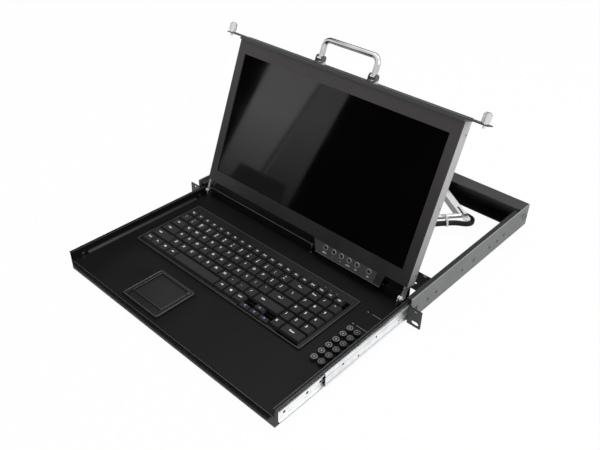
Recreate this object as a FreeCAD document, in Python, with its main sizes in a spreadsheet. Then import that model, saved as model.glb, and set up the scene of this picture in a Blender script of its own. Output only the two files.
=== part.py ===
import FreeCAD, Part
import math
import os
import Sketcher

# Rack-mounted console drawer, 1U high: a keyboard tray with a fold-down LCD runs
# out of a sheet-metal rack frame on a pair of three-part slides, and a folding
# cable arm follows it from behind.  The drawer stands fully out with the LCD up.
# X runs across the rack, Y into it and Z up.  The origin lies on the front face of
# the rack ears, midway between the two slots that the rack screws go through.

doc = FreeCAD.newDocument("rackmount_lcd_console_drawer")
sheet = doc.addObject("Spreadsheet::Sheet", "Sizes")

UP = FreeCAD.Vector(0, 0, 1)
ACROSS = FreeCAD.Vector(1, 0, 0)


class Size:
    """A length or an angle: its number, and the formula that gives it from the sheet."""

    def __init__(self, number, formula):
        self.number = number
        self.formula = formula

    def __add__(self, other):
        other = as_size(other)
        return Size(self.number + other.number, "(%s + %s)" % (self.formula, other.formula))

    def __sub__(self, other):
        other = as_size(other)
        return Size(self.number - other.number, "(%s - %s)" % (self.formula, other.formula))

    def __mul__(self, other):
        other = as_size(other)
        return Size(self.number * other.number, "(%s * %s)" % (self.formula, other.formula))

    def __truediv__(self, other):
        other = as_size(other)
        return Size(self.number / other.number, "(%s / %s)" % (self.formula, other.formula))

    def __radd__(self, other):
        return as_size(other) + self

    def __rsub__(self, other):
        return as_size(other) - self

    def __rmul__(self, other):
        return as_size(other) * self

    def __neg__(self):
        return as_size(0) - self

    def __lt__(self, other):
        return self.number < as_size(other).number


def as_size(value):
    if isinstance(value, Size):
        return value
    return Size(float(value), "(%.6f)" % value)


rows_used = 0


def dimension(name, value):
    """Writes one driving dimension to the sheet and returns it as a Size."""
    global rows_used
    rows_used += 1
    sheet.set("A%d" % rows_used, name)
    sheet.set("B%d" % rows_used, str(value))
    sheet.setAlias("B%d" % rows_used, name)
    return Size(float(value), "Sizes.%s" % name)


# Rack frame.  Heights are measured from the middle of the rack unit.
panel_width = dimension("panel_width", 482.6)
slot_spacing = dimension("slot_spacing", 465.1)
slot_drop = dimension("slot_drop", 15.875)
unit_half = dimension("unit_half", 19.75)
side_outer = dimension("side_outer", 222.75)
side_sheet = dimension("side_sheet", 1.5)
frame_depth = dimension("frame_depth", 335)
frame_front = dimension("frame_front", 2)
rail_inner = dimension("rail_inner", 211.7)
rail_top = dimension("rail_top", 15.5)
rail_sheet = dimension("rail_sheet", 1.2)
bottom_flange = dimension("bottom_flange", 6)
channel_depth = dimension("channel_depth", 27)
ear_inner = dimension("ear_inner", 219.7)
ear_sheet = dimension("ear_sheet", 2)
ear_top = dimension("ear_top", 8)
ear_bottom = dimension("ear_bottom", -21.8)

# Slides: an outer, a middle and an inner member on each side.
slide_level = dimension("slide_level", -5)
slide_sheet = dimension("slide_sheet", 1)
outer_half = dimension("outer_half", 13)
middle_half = dimension("middle_half", 11.4)
inner_half = dimension("inner_half", 9.8)

# Keyboard tray.
tray_half = dimension("tray_half", 214.1)
tray_sheet = dimension("tray_sheet", 1.2)
tray_front = dimension("tray_front", -254.8)
tray_rear = dimension("tray_rear", 30)
wing_rear = dimension("wing_rear", 67)
wing_inner = dimension("wing_inner", 186)
shelf_low = dimension("shelf_low", -11)
tray_top = dimension("tray_top", 12.9)
tray_bottom = dimension("tray_bottom", -21.8)
lip_top = dimension("lip_top", -5)
well_half = dimension("well_half", 210.9)
wall_top = dimension("wall_top", 9.2)
flange_half = dimension("flange_half", 215.6)
deck_top = dimension("deck_top", -4.5)
deck_sheet = dimension("deck_sheet", 1.2)
deck_rear = dimension("deck_rear", 19)
housing_front = dimension("housing_front", 8)
housing_half = dimension("housing_half", 198.3)

# Keyboard and its keys.
board_left = dimension("board_left", -186)
board_right = dimension("board_right", 160.2)
board_front = dimension("board_front", -156.5)
board_rear = dimension("board_rear", -29.3)
board_top = dimension("board_top", -1.5)
key_pitch = dimension("key_pitch", 18.6)
key_gap = dimension("key_gap", 1.2)
key_start = dimension("key_start", -181)
key_top = dimension("key_top", 0.9)
key_bottom = dimension("key_bottom", -3.7)
key_taper = dimension("key_taper", 1.6)
key_post = dimension("key_post", 5)
post_bottom = dimension("post_bottom", -8.9)
key_travel = dimension("key_travel", 2)

# Touchpad.
pad_left = dimension("pad_left", -94)
pad_right = dimension("pad_right", -17.5)
pad_front = dimension("pad_front", -248)
pad_rear = dimension("pad_rear", -178.5)

# Port selection buttons, in two rows along the right side of the deck.
port_inner = dimension("port_inner", 184.2)
port_outer = dimension("port_outer", 196.4)
port_first = dimension("port_first", -153.7)
port_pitch = dimension("port_pitch", 14.24)
port_cap = dimension("port_cap", 10)

# LCD.  Its own frame has the hinge axis as X, Z up along the screen and Y behind it.
hinge_depth = dimension("hinge_depth", 6.84)
hinge_level = dimension("hinge_level", 5.7)
lcd_lean = dimension("lcd_lean", 21.03)
lcd_half = dimension("lcd_half", 206)
lcd_foot = dimension("lcd_foot", 20.94)
lcd_rise = dimension("lcd_rise", 237.5)
lcd_front = dimension("lcd_front", -4)
lcd_back = dimension("lcd_back", 16)
lcd_sheet = dimension("lcd_sheet", 1.2)
screen_half = dimension("screen_half", 191)
screen_low = dimension("screen_low", 41)
screen_high = dimension("screen_high", 238.4)
panel_front = dimension("panel_front", -7)
panel_back = dimension("panel_back", 16.5)
panel_rise = dimension("panel_rise", 3.5)
panel_sheet = dimension("panel_sheet", 1.5)
panel_half = dimension("panel_half", 237.5)
wing_back = dimension("wing_back", 10)
thumb_across = dimension("thumb_across", 231.5)
thumb_depth = dimension("thumb_depth", 2.5)
grip_half = dimension("grip_half", 49)
grip_bar = dimension("grip_bar", 8.5)
grip_depth = dimension("grip_depth", 5)
grip_pivot = dimension("grip_pivot", 7.5)
grip_reach = dimension("grip_reach", 36.5)
grip_bend = dimension("grip_bend", 10)
foot_radius = dimension("foot_radius", 4.8)
arm_inner = dimension("arm_inner", 201.2)
arm_outer = dimension("arm_outer", 204.6)
arm_radius = dimension("arm_radius", 6)
hinge_pin = dimension("hinge_pin", 5)
running_gap = dimension("running_gap", 0.05)

# Folding cable arm behind the tray, a short rear link and a long front link.
pivot_across = dimension("pivot_across", 53.5)
pivot_depth = dimension("pivot_depth", 322)
rear_length = dimension("rear_length", 119.6)
rear_turn = dimension("rear_turn", -34.1)
front_length = dimension("front_length", 261.6)
front_turn = dimension("front_turn", -129.1)
rear_half = dimension("rear_half", 6)
rear_top = dimension("rear_top", 0)
rear_wall = dimension("rear_wall", 13.5)
rear_tail = dimension("rear_tail", 5.4)
front_half = dimension("front_half", 4)
front_low = dimension("front_low", 1)
front_wall = dimension("front_wall", 4)
link_sheet = dimension("link_sheet", 1.2)
cable_bundle = dimension("cable_bundle", 9)
cable_gap = dimension("cable_gap", 0.4)
elbow_start = dimension("elbow_start", 84)
elbow_end = dimension("elbow_end", 30)
pin_radius = dimension("pin_radius", 2.5)

doc.recompute()

sub_parts = []


# --- building blocks ------------------------------------------------------------------


def bind(item, name, value):
    item.setExpression(name, as_size(value).formula)


def bind_base(item, x, y, z):
    bind(item, "Placement.Base.x", x)
    bind(item, "Placement.Base.y", y)
    bind(item, "Placement.Base.z", z)


def box(name, across, deep, high):
    """A block between the given limits along X, Y and Z."""
    item = doc.addObject("Part::Box", name)
    for limits, edge in ((across, "Length"), (deep, "Width"), (high, "Height")):
        bind(item, edge, as_size(limits[1]) - limits[0])
    bind_base(item, across[0], deep[0], high[0])
    return item


def rod(name, direction, limits, first, second, radius):
    """A round bar along X, Y or Z; first and second place it on the other two axes."""
    item = doc.addObject("Part::Cylinder", name)
    bind(item, "Radius", radius)
    bind(item, "Height", as_size(limits[1]) - limits[0])
    low = limits[0]
    if direction == "x":
        item.Placement.Rotation = FreeCAD.Rotation(FreeCAD.Vector(0, 1, 0), 90)
        bind_base(item, low, first, second)
    elif direction == "y":
        item.Placement.Rotation = FreeCAD.Rotation(ACROSS, -90)
        bind_base(item, first, low, second)
    else:
        bind_base(item, first, second, low)
    return item


def obround(name, low, high, radius, limits):
    """An upright slot or link outline with round ends, from low to high along X at y = 0."""
    bar = box(name + "_bar", (low, high), (-as_size(radius), radius), limits)
    ends = [rod(name + "_end", "z", limits, end, 0, radius) for end in (low, high)]
    return fuse(name, [bar] + ends)


def fuse(name, shapes):
    item = doc.addObject("Part::MultiFuse", name)
    item.Shapes = shapes
    item.Refine = True
    return item


def group(name, shapes):
    """Several separate solids that are kept as one sub-part."""
    item = doc.addObject("Part::Compound", name)
    item.Links = shapes
    return item


def cut(name, base, tools):
    item = doc.addObject("Part::Cut", name)
    item.Base = base
    item.Tool = tools[0] if len(tools) == 1 else group(name + "_tools", tools)
    item.Refine = True
    return item


def hollow(name, across, deep, high, wall, open_side):
    """A thin shell around the given limits, open on one side: one of -x x -y y -z z."""
    limits = {"x": across, "y": deep, "z": high}
    inner = {}
    for axis, (low, top) in limits.items():
        inner[axis] = [as_size(low) + wall, as_size(top) - wall]
    axis = open_side[-1]
    if open_side[0] == "-":
        inner[axis][0] = as_size(limits[axis][0]) - 1
    else:
        inner[axis][1] = as_size(limits[axis][1]) + 1
    outside = box(name + "_outside", across, deep, high)
    inside = box(name + "_inside", inner["x"], inner["y"], inner["z"])
    return cut(name, outside, [inside])


def side_limits(side, near, far):
    """Limits along X that lie near..far on the right, or mirrored on the left."""
    if side > 0:
        return (near, far)
    return (-as_size(far), -as_size(near))


def finish(item, label, frame="console"):
    """Names a sub-part and places it in the drawer's frame, on the LCD or on a link."""
    if item.TypeId in ("Part::Box", "Part::Cylinder"):
        item = group(label, [item])
    item.Label = label
    if frame == "lcd":
        item.Placement.Rotation = FreeCAD.Rotation(ACROSS, -lcd_lean.number)
        bind(item, "Placement.Rotation.Angle", -lcd_lean)
        bind_base(item, 0, hinge_depth, hinge_level + slot_drop)
    elif frame == "rear_link":
        item.Placement.Rotation = FreeCAD.Rotation(UP, rear_turn.number)
        bind(item, "Placement.Rotation.Angle", rear_turn)
        bind_base(item, pivot_across, pivot_depth, slot_drop)
    elif frame == "front_link":
        item.Placement.Rotation = FreeCAD.Rotation(UP, front_turn.number)
        bind(item, "Placement.Rotation.Angle", front_turn)
        bind_base(item, elbow_across, elbow_depth, slot_drop)
    else:
        bind(item, "Placement.Base.z", slot_drop)
    sub_parts.append(item)


def turned_place(angle, along):
    """How far a link that is turned by angle reaches along X and along Y."""
    across = Size(
        along.number * math.cos(math.radians(angle.number)),
        "(%s * cos(%s * 1 deg))" % (along.formula, angle.formula),
    )
    deep = Size(
        along.number * math.sin(math.radians(angle.number)),
        "(%s * sin(%s * 1 deg))" % (along.formula, angle.formula),
    )
    return across, deep


def origin_plane(body, role):
    for feature in body.Origin.OriginFeatures:
        if feature.Role == role:
            return feature
    raise ValueError(role)


PLANES = {"x": "YZ_Plane", "y": "XZ_Plane", "z": "XY_Plane"}


def new_sketch(body, name, direction, start):
    """A sketch across the given axis, at start along it."""
    sketch = body.newObject("Sketcher::SketchObject", name)
    sketch.AttachmentSupport = [(origin_plane(body, PLANES[direction]), "")]
    sketch.MapMode = "FlatFace"
    offset = -as_size(start) if direction == "y" else as_size(start)
    bind(sketch, "AttachmentOffset.Base.z", offset)
    return sketch


def hold_point(sketch, line, corner, point):
    """Fixes one point of a line or circle at its place from the sketch's origin."""
    for kind, value in zip(("DistanceX", "DistanceY"), point):
        size = as_size(value)
        rule = Sketcher.Constraint(kind, -1, 1, line, corner, size.number)
        bind(sketch, "Constraints[%d]" % sketch.addConstraint(rule), size)


def draw_outline(sketch, points):
    """A closed outline of straight lines with every corner held to the sheet."""
    first = sketch.GeometryCount
    count = len(points)
    corners = [FreeCAD.Vector(as_size(p[0]).number, as_size(p[1]).number, 0) for p in points]
    for i in range(count):
        sketch.addGeometry(Part.LineSegment(corners[i], corners[(i + 1) % count]), False)
    for i in range(count):
        after = first + (i + 1) % count
        sketch.addConstraint(Sketcher.Constraint("Coincident", first + i, 2, after, 1))
        hold_point(sketch, first + i, 1, points[i])


def draw_circle(sketch, point, radius):
    size = as_size(radius)
    middle = FreeCAD.Vector(as_size(point[0]).number, as_size(point[1]).number, 0)
    circle = sketch.addGeometry(Part.Circle(middle, UP, size.number), False)
    rule = Sketcher.Constraint("Radius", circle, size.number)
    bind(sketch, "Constraints[%d]" % sketch.addConstraint(rule), size)
    hold_point(sketch, circle, 3, point)


def draw_slot(sketch, point, half_run, radius):
    """An obround hole that lies along the sketch's first axis."""
    x = as_size(point[0])
    y = as_size(point[1])
    half = as_size(half_run)
    size = as_size(radius)
    left = FreeCAD.Vector((x - half).number, y.number, 0)
    right = FreeCAD.Vector((x + half).number, y.number, 0)
    rise = FreeCAD.Vector(0, size.number, 0)
    quarter = math.pi / 2
    lower = sketch.addGeometry(Part.LineSegment(left - rise, right - rise), False)
    right_circle = Part.Circle(right, UP, size.number)
    end = sketch.addGeometry(Part.ArcOfCircle(right_circle, -quarter, quarter), False)
    upper = sketch.addGeometry(Part.LineSegment(right + rise, left + rise), False)
    left_circle = Part.Circle(left, UP, size.number)
    start = sketch.addGeometry(Part.ArcOfCircle(left_circle, quarter, 3 * quarter), False)
    for one, its_end, other, its_start in (
        (lower, 2, end, 1),
        (end, 2, upper, 1),
        (upper, 2, start, 1),
        (start, 2, lower, 1),
    ):
        sketch.addConstraint(Sketcher.Constraint("Coincident", one, its_end, other, its_start))
    hold_point(sketch, end, 3, (x + half, y))
    hold_point(sketch, start, 3, (x - half, y))
    rule = Sketcher.Constraint("Radius", end, size.number)
    bind(sketch, "Constraints[%d]" % sketch.addConstraint(rule), size)
    sketch.addConstraint(Sketcher.Constraint("Vertical", end, 3, end, 1))
    sketch.addConstraint(Sketcher.Constraint("Vertical", start, 3, start, 1))


def pad(body, sketch, direction, length):
    """Raises a sketch along the positive axis that it lies across."""
    feature = body.newObject("PartDesign::Pad", sketch.Name + "_pad")
    feature.Profile = sketch
    bind(feature, "Length", length)
    feature.Reversed = direction == "y"
    return feature


def pocket(body, sketch, direction, length):
    """Cuts a sketch away along the positive axis that it lies across."""
    feature = body.newObject("PartDesign::Pocket", sketch.Name + "_pocket")
    feature.Profile = sketch
    bind(feature, "Length", length)
    feature.Reversed = direction != "y"
    doc.recompute()
    before = feature.BaseFeature.Shape.Volume
    if feature.Shape.Volume > before - 0.001:
        raise ValueError("%s cuts nothing" % feature.Name)
    return feature


def bent_sheet(name, direction, limits, points):
    """A sheet-metal section drawn across an axis and drawn out between the limits."""
    body = doc.addObject("PartDesign::Body", name)
    sketch = new_sketch(body, name + "_section", direction, limits[0])
    draw_outline(sketch, points)
    pad(body, sketch, direction, as_size(limits[1]) - limits[0])
    return body


def rectangle(across, high):
    return [(across[0], high[0]), (across[1], high[0]), (across[1], high[1]), (across[0], high[1])]


def channel_points(side, web, lip, low, high, sheet_size):
    """A C section: its web is at X = web, and its two lips reach to X = lip."""
    sign = 1 if lip > web else -1
    outer = side * as_size(web)
    face = side * (as_size(web) + sign * as_size(sheet_size))
    edge = side * as_size(lip)
    return [
        (outer, low),
        (edge, low),
        (edge, low + sheet_size),
        (face, low + sheet_size),
        (face, high - sheet_size),
        (edge, high - sheet_size),
        (edge, high),
        (outer, high),
    ]


# --- rack frame -----------------------------------------------------------------------

web_inner = side_outer - side_sheet
channel_front = frame_depth - channel_depth
SIDES = {"left": -1, "right": 1}
PLATE_HOLES = ((16, -4.5), (44, -4.5), (65, -4.5), (134, -4.5), (213, -4.5), (237, -4.5))


def side_plate(name, side):
    """An upright side sheet with a narrow bottom flange, and the angle rail welded inside it."""
    lower = side_outer - side_sheet - bottom_flange
    points = [
        (side * side_outer, -unit_half),
        (side * side_outer, unit_half),
        (side * web_inner, unit_half),
        (side * web_inner, side_sheet - unit_half),
        (side * lower, side_sheet - unit_half),
        (side * lower, -unit_half),
    ]
    body = bent_sheet(name + "_sheet", "y", (frame_front, frame_depth), points)
    # The bottom flange stops short of the rear channel.
    notch = new_sketch(body, name + "_rear_notch", "y", channel_front - 0.5)
    draw_outline(notch, rectangle((side * (lower - 1), side * web_inner), (-unit_half - 1, unit_half + 1)))
    pocket(body, notch, "y", channel_depth + 1)
    holes = new_sketch(body, name + "_holes", "x", side * side_outer - 2)
    for deep, high in PLATE_HOLES:
        draw_circle(holes, (deep, high), 2.6)
    pocket(body, holes, "x", 4)
    rail_foot = slide_level + outer_half + 0.6
    rail_points = [
        (side * web_inner, rail_foot),
        (side * web_inner, rail_top),
        (side * rail_inner, rail_top),
        (side * rail_inner, rail_top - rail_sheet),
        (side * (web_inner - rail_sheet), rail_top - rail_sheet),
        (side * (web_inner - rail_sheet), rail_foot),
    ]
    rail = bent_sheet(name + "_rail", "y", (frame_front + 4, channel_front - 0.5), rail_points)
    finish(fuse(name + "_welded", [body, rail]), name)


def rack_ear(name, side):
    """The front angle with the slot for the rack screw and the hole for the thumbscrew."""
    half = panel_width / 2
    body = doc.addObject("PartDesign::Body", name)
    section = new_sketch(body, name + "_section", "z", ear_bottom)
    leg = ear_inner + side_sheet
    points = [
        (side * ear_inner, 0),
        (side * half, 0),
        (side * half, ear_sheet),
        (side * leg, ear_sheet),
        (side * leg, 22),
        (side * ear_inner, 22),
    ]
    draw_outline(section, points)
    pad(body, section, "z", ear_top - ear_bottom)
    relief = new_sketch(body, name + "_leg_relief", "y", ear_sheet)
    across = (side * (ear_inner - 1), side * leg)
    draw_outline(relief, rectangle(across, (ear_bottom - 1, ear_bottom + 3.8)))
    pocket(body, relief, "y", 30)
    openings = new_sketch(body, name + "_openings", "y", -1)
    draw_slot(openings, (side * slot_spacing / 2, -slot_drop), 2.6, 3.4)
    draw_circle(openings, (side * thumb_across, hinge_level - thumb_depth), 2.6)
    pocket(body, openings, "y", 4)
    finish(body, name)


def rear_channel():
    """The channel that joins the side plates at the back, open to the front."""
    low = -unit_half
    points = [
        (channel_front, low),
        (frame_depth, low),
        (frame_depth, unit_half),
        (channel_front, unit_half),
        (channel_front, unit_half - side_sheet),
        (frame_depth - side_sheet, unit_half - side_sheet),
        (frame_depth - side_sheet, side_sheet - unit_half),
        (channel_front, side_sheet - unit_half),
    ]
    reach = web_inner - 0.1
    body = bent_sheet("rear_channel", "x", (-reach, reach), points)
    windows = new_sketch(body, "cable_windows", "y", frame_depth - 3)
    for middle, half_run in ((-150, 30), (-40, 50)):
        draw_slot(windows, (middle, -2), half_run, 9)
    pocket(body, windows, "y", 5)
    finish(body, "rear_channel")


def frame_screws():
    """Pan heads on the outside of the side plates, and the screws that hold the ears."""
    heads = []
    for side in (-1, 1):
        for deep, high in ((5, 4), (317, 4), (330, -3), (168, -4), (260, -4)):
            across = side_limits(side, side_outer, side_outer + 0.8)
            heads.append(rod("frame_screw", "x", across, deep, high, 3))
    finish(group("frame_screw_set", heads), "frame_screws")


def arm_bracket():
    """The angle on the rear channel that carries the cable arm's fixed pivot."""
    low = rear_top - rear_wall - 2
    back = frame_depth - side_sheet
    across = (pivot_across - 11, pivot_across + 11)
    plate = box("bracket_plate", across, (pivot_depth - 9, back), (low, low + 1.5))
    leg = box("bracket_leg", across, (back - 1.5, back), (low, low + 16))
    pin = rod("bracket_pin", "z", (low, rear_top + 1), pivot_across, pivot_depth, pin_radius)
    finish(fuse("arm_bracket", [plate, leg, pin]), "arm_bracket_rear")


def slide_member(name, side, web, lip, half, deep):
    points = channel_points(side, web, lip, slide_level - half, slide_level + half, slide_sheet)
    body = bent_sheet(name, "y", deep, points)
    finish(body, name)


for word, sign in SIDES.items():
    side_plate("side_plate_" + word, sign)
    rack_ear("rack_ear_" + word, sign)
rear_channel()
frame_screws()
arm_bracket()
for word, sign in SIDES.items():
    slide_member("slide_outer_" + word, sign, 221.1, 216.9, outer_half, (24, 324))
    slide_member("slide_middle_" + word, sign, 219.2, 215.4, middle_half, (-171, 119))
    slide_member("slide_inner_" + word, sign, tray_half, 217.4, inner_half, (-250, 62))


# --- keyboard tray --------------------------------------------------------------------

FUNCTION_ROW = (-51.5, 12.5)
KEY_ROWS = (-67.5, -86, -104.5, -123, -141.5)
NUMPAD = (107.3, 125.9, 144.5)
ARROWS = (51.5, 70.1, 88.7)
ARROW_UP = (-138, 9.9)
ARROW_FRONT = (-149.2, 9.9)
LAMPS = (105, 115.3, 126.3)


def tray_pan():
    """The outer pan: floor, side walls with flanged tops, and the front lip."""
    wall = tray_half - tray_sheet
    under = wall_top - tray_sheet
    points = [
        (-tray_half, tray_bottom),
        (tray_half, tray_bottom),
        (tray_half, under),
        (flange_half, under),
        (flange_half, wall_top),
        (well_half, wall_top),
        (well_half, under),
        (wall, under),
        (wall, tray_bottom + tray_sheet),
        (-wall, tray_bottom + tray_sheet),
        (-wall, under),
        (-well_half, under),
        (-well_half, wall_top),
        (-flange_half, wall_top),
        (-flange_half, under),
        (-tray_half, under),
    ]
    pan = bent_sheet("pan", "y", (tray_front, wing_rear), points)
    beyond = tray_half + 1
    rear_floor = box("rear_floor", (-beyond, beyond), (tray_rear, wing_rear + 1), (tray_bottom - 1, -17.5))
    lip_limits = (tray_front, tray_front + tray_sheet)
    lip = box("front_lip", (-wall, wall), lip_limits, (tray_bottom + tray_sheet, lip_top))
    finish(fuse("tray", [cut("pan_trimmed", pan, [rear_floor]), lip]), "tray_pan")


def deck_plate():
    """The inner deck with openings for the keyboard, the touchpad and the port buttons."""
    wall = well_half + 1
    low = deck_top - deck_sheet
    front = tray_front + tray_sheet
    rear = deck_rear
    plate = box("deck", (-wall, wall), (front, rear), (low, deck_top))
    rise = wall_top - tray_sheet
    walls = [
        box("deck_wall", side_limits(side, well_half, wall), (front, rear), (deck_top, rise))
        for side in (-1, 1)
    ]
    tools = [
        box(
            "keyboard_opening",
            (board_left + 3, board_right - 3),
            (board_front + 1.5, board_rear - 3),
            (low - 1, 0),
        ),
        box(
            "touchpad_opening",
            (pad_left + 2, pad_right - 2),
            (pad_front + 2, pad_rear - 2),
            (low - 1, 0),
        ),
    ]
    for across in (port_inner, port_outer):
        for i in range(6):
            deep = port_first + i * port_pitch
            tools.append(rod("port_hole", "z", (low - 1, 0), across, deep, port_cap / 2 + 0.3))
    finish(cut("deck_plate", fuse("deck_blank", [plate] + walls), tools), "deck_plate")


def keyboard_frame():
    """The moulded frame around the keys, deeper in front of the arrow and number keys."""
    outside = box(
        "frame_outside",
        (board_left, board_right),
        (board_front, board_rear),
        (deck_top, board_top),
    )
    main_front = -151.7
    low = deck_top - 1
    split = ARROWS[0] - key_pitch / 2 - 0.6
    main = box("main_well", (key_start - 0.6, split), (main_front, -44.3), (low, 0))
    keypad = box("keypad_well", (split - 1, NUMPAD[2] + key_pitch / 2 + 0.6), (-155, -44.3), (low, 0))
    lamps = [rod("lamp_hole", "z", (low, 0), across, -41, 1.5) for across in LAMPS]
    finish(cut("keyboard_frame", outside, [main, keypad] + lamps), "keyboard_frame")


def keyboard_base():
    """The tray under the keys; each row's posts run in a slot of their own."""
    low = deck_top - deck_sheet - 4
    high = deck_top - deck_sheet
    outside = box(
        "base_outside",
        (board_left + 1, board_right - 1),
        (board_front + 1, board_rear - 1),
        (low, high),
    )
    recess = box(
        "base_recess",
        (board_left + 3, board_right - 3),
        (board_front + 2, board_rear - 3),
        (low + 1.7, 0),
    )
    half = key_post / 2 + 0.4
    tools = [recess]
    for deep in (FUNCTION_ROW[0],) + KEY_ROWS:
        slot_limits = (deep - half, deep + half)
        tools.append(box("post_slot", (key_start, 156), slot_limits, (low - 1, 0)))
    arrow_limits = (ARROW_FRONT[0] - half, ARROW_FRONT[0] + half)
    tools.append(box("arrow_slot", (44, 156), arrow_limits, (low - 1, 0)))
    up_limits = (ARROW_UP[0] - half, ARROW_UP[0] + half)
    tools.append(box("arrow_up_slot", (44, 156), up_limits, (low - 1, 0)))
    finish(cut("keyboard_base", outside, tools), "keyboard_base")


# Middle and depth of the two lines of arrow keys.


def key(across, deep, wide, long):
    """One tapered keycap with its guide post."""
    cap = doc.addObject("Part::Wedge", "keycap")
    bind(cap, "Xmax", wide)
    bind(cap, "Zmax", long)
    bind(cap, "Ymax", key_top - key_bottom)
    bind(cap, "X2min", key_taper)
    bind(cap, "X2max", as_size(wide) - key_taper)
    bind(cap, "Z2min", key_taper)
    bind(cap, "Z2max", as_size(long) - key_taper)
    cap.Placement.Rotation = FreeCAD.Rotation(ACROSS, 90)
    bind_base(cap, as_size(across) - wide / 2, as_size(deep) + long / 2, key_bottom)
    half = key_post / 2
    stem_half = 2
    post = box(
        "key_post",
        (across - half, across + half),
        (deep - as_size(stem_half), deep + as_size(stem_half)),
        (post_bottom, key_bottom),
    )
    return fuse("key", [cap, post])


def key_run(widths, deep, long, left=key_start):
    """Keys side by side from a left edge; widths are in key units."""
    keys = []
    along = 0
    for wide in widths:
        middle = left + key_pitch * (along + wide / 2)
        keys.append(key(middle, deep, key_pitch * wide - key_gap, long))
        along += wide
    return keys


def key_rows():
    """The six rows of keys, each with its share of the number pad on the right."""
    long = key_pitch - key_gap
    pad_left_edge = NUMPAD[0] - key_pitch / 2
    layouts = (
        (1,) * 13 + (2,),
        (1.5,) + (1,) * 12 + (1.5,),
        (1.75,) + (1,) * 11 + (2.25,),
        (2.25,) + (1,) * 10 + (2.75,),
    )
    narrow = 16.4
    deep, height = FUNCTION_ROW
    function_keys = [
        key(key_start + narrow * (i + 0.5), deep, as_size(narrow) - key_gap, as_size(height))
        for i in range(20)
    ]
    finish(group("function_keys", function_keys), "key_row_functions")
    names = ("numbers", "upper_letters", "middle_letters", "lower_letters")
    for row in range(4):
        deep = KEY_ROWS[row]
        keys = key_run(layouts[row], deep, long) + key_run((1, 1, 1), deep, long, pad_left_edge)
        finish(group("keys_" + names[row], keys), "key_row_" + names[row])
    deep = KEY_ROWS[4]
    keys = key_run((1, 1, 1, 1, 5, 1, 1, 1), deep, long) + key_run((1, 2), deep, long, pad_left_edge)
    for across in ARROWS:
        keys.append(key(across, ARROW_FRONT[0], long, as_size(ARROW_FRONT[1])))
    keys.append(key(ARROWS[1], ARROW_UP[0], long, as_size(ARROW_UP[1])))
    finish(group("keys_space", keys), "key_row_space")


def touchpad():
    """The framed touchpad in front of the keyboard, with two buttons at its front edge."""
    across = (pad_left, pad_right)
    frame = box("touch_outside", across, (pad_front, pad_rear), (deck_top, deck_top + 3.5))
    pad_hole = box("touch_hole", (-86.5, -26), (-232.5, -183.5), (deck_top - 1, 0))
    button_hole = box("touch_button_hole", (-86.5, -26), (-245.2, -234), (deck_top - 1, 0))
    finish(cut("touchpad_frame", frame, [pad_hole, button_hole]), "touchpad_frame")
    base = box("touch_base", (pad_left + 2.2, pad_right - 2.2), (-232.6, pad_rear - 2.2), (-9.5, deck_top))
    surface = box("touch_surface", (-86.3, -26.2), (-232.3, -183.7), (deck_top, -3))
    tongue = box("touch_tongue", (-88, -24.5), (-245.8, -232.6), (-9.5, -8.2))
    finish(fuse("touchpad_pieces", [base, surface, tongue]), "touchpad_surface")
    for word, limits in (("left", (-86.2, -56)), ("right", (-55.4, -26.3))):
        cap = box("touch_button", limits, (-244.9, -234.3), (deck_top - 2.4, -2.6))
        finish(cap, "touchpad_button_" + word)


def port_buttons():
    """Two rows of round push buttons that each choose a computer port."""
    for word, across in (("inner", port_inner), ("outer", port_outer)):
        caps = []
        for i in range(6):
            deep = port_first + i * port_pitch
            caps.append(rod("port_button", "z", (-8.5, 0.5), across, deep, port_cap / 2))
        finish(group("port_buttons_" + word, caps), "port_buttons_" + word)


def main_board():
    """The switching board on its standoffs, with a tall switch under every port button."""
    floor = tray_bottom + tray_sheet
    top = -15.4
    pieces = [box("board", (20, 206), (-160, 22), (-17, top))]
    for across in (28, 110, 200):
        for deep in (-164 + 12, 14):
            pieces.append(rod("standoff", "z", (floor, -17), across, deep, 3))
    for across in (port_inner, port_outer):
        for i in range(6):
            deep = port_first + i * port_pitch
            half = 3
            limits = (across - half, across + half)
            pieces.append(box("switch", limits, (deep - half, deep + half), (top, -11.8)))
            pieces.append(rod("switch_stem", "z", (-11.8, -9.8), across, deep, 1.7))
    for across, deep, half in ((60, -20, 12), (100, -20, 12), (140, -60, 9), (60, -70, 14)):
        limits = (across - half, across + half)
        pieces.append(box("chip", limits, (deep - half, deep + half), (top, -13.4)))
    finish(fuse("board_with_switches", pieces), "main_board")


def hinge_housing():
    """The beam along the rear of the deck that the LCD stands behind, notched for its tab."""
    limits = (-housing_half, housing_half)
    shell = hollow("housing_shell", limits, (housing_front, 18), (deck_top, tray_top), 1.5, "z")
    lid = box("housing_lid", limits, (housing_front, 18), (tray_top - 1.5, tray_top))
    notch = box("housing_notch", (33, 172), (housing_front - 1, 19), (-1.5, tray_top + 1))
    floor = box("notch_floor", (31.5, 173.5), (housing_front, 18), (-3, -1.5))
    ends = [
        box("notch_end", side, (housing_front, 18), (-1.5, tray_top))
        for side in ((31.5, 33), (172, 173.5))
    ]
    notched = cut("housing_cut", fuse("housing_box", [shell, lid]), [notch])
    finish(fuse("housing", [notched, floor] + ends), "hinge_housing")


# Connector places on the rear wall: middle, half width, and lower and upper level.
REAR_OPENINGS = (
    (-170, 14, (-13.5, 6.5)),
    (-128, 12, (-9, 2)),
    (32, 9, (-10, 4)),
    (56, 7, (-9, 4)),
    (76, 7, (-9, 4)),
    (96, 7, (-9, 4)),
    (116, 7, (-9, 4)),
    (136, 7, (-9, 4)),
    (156, 7, (-9, 4)),
)


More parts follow.
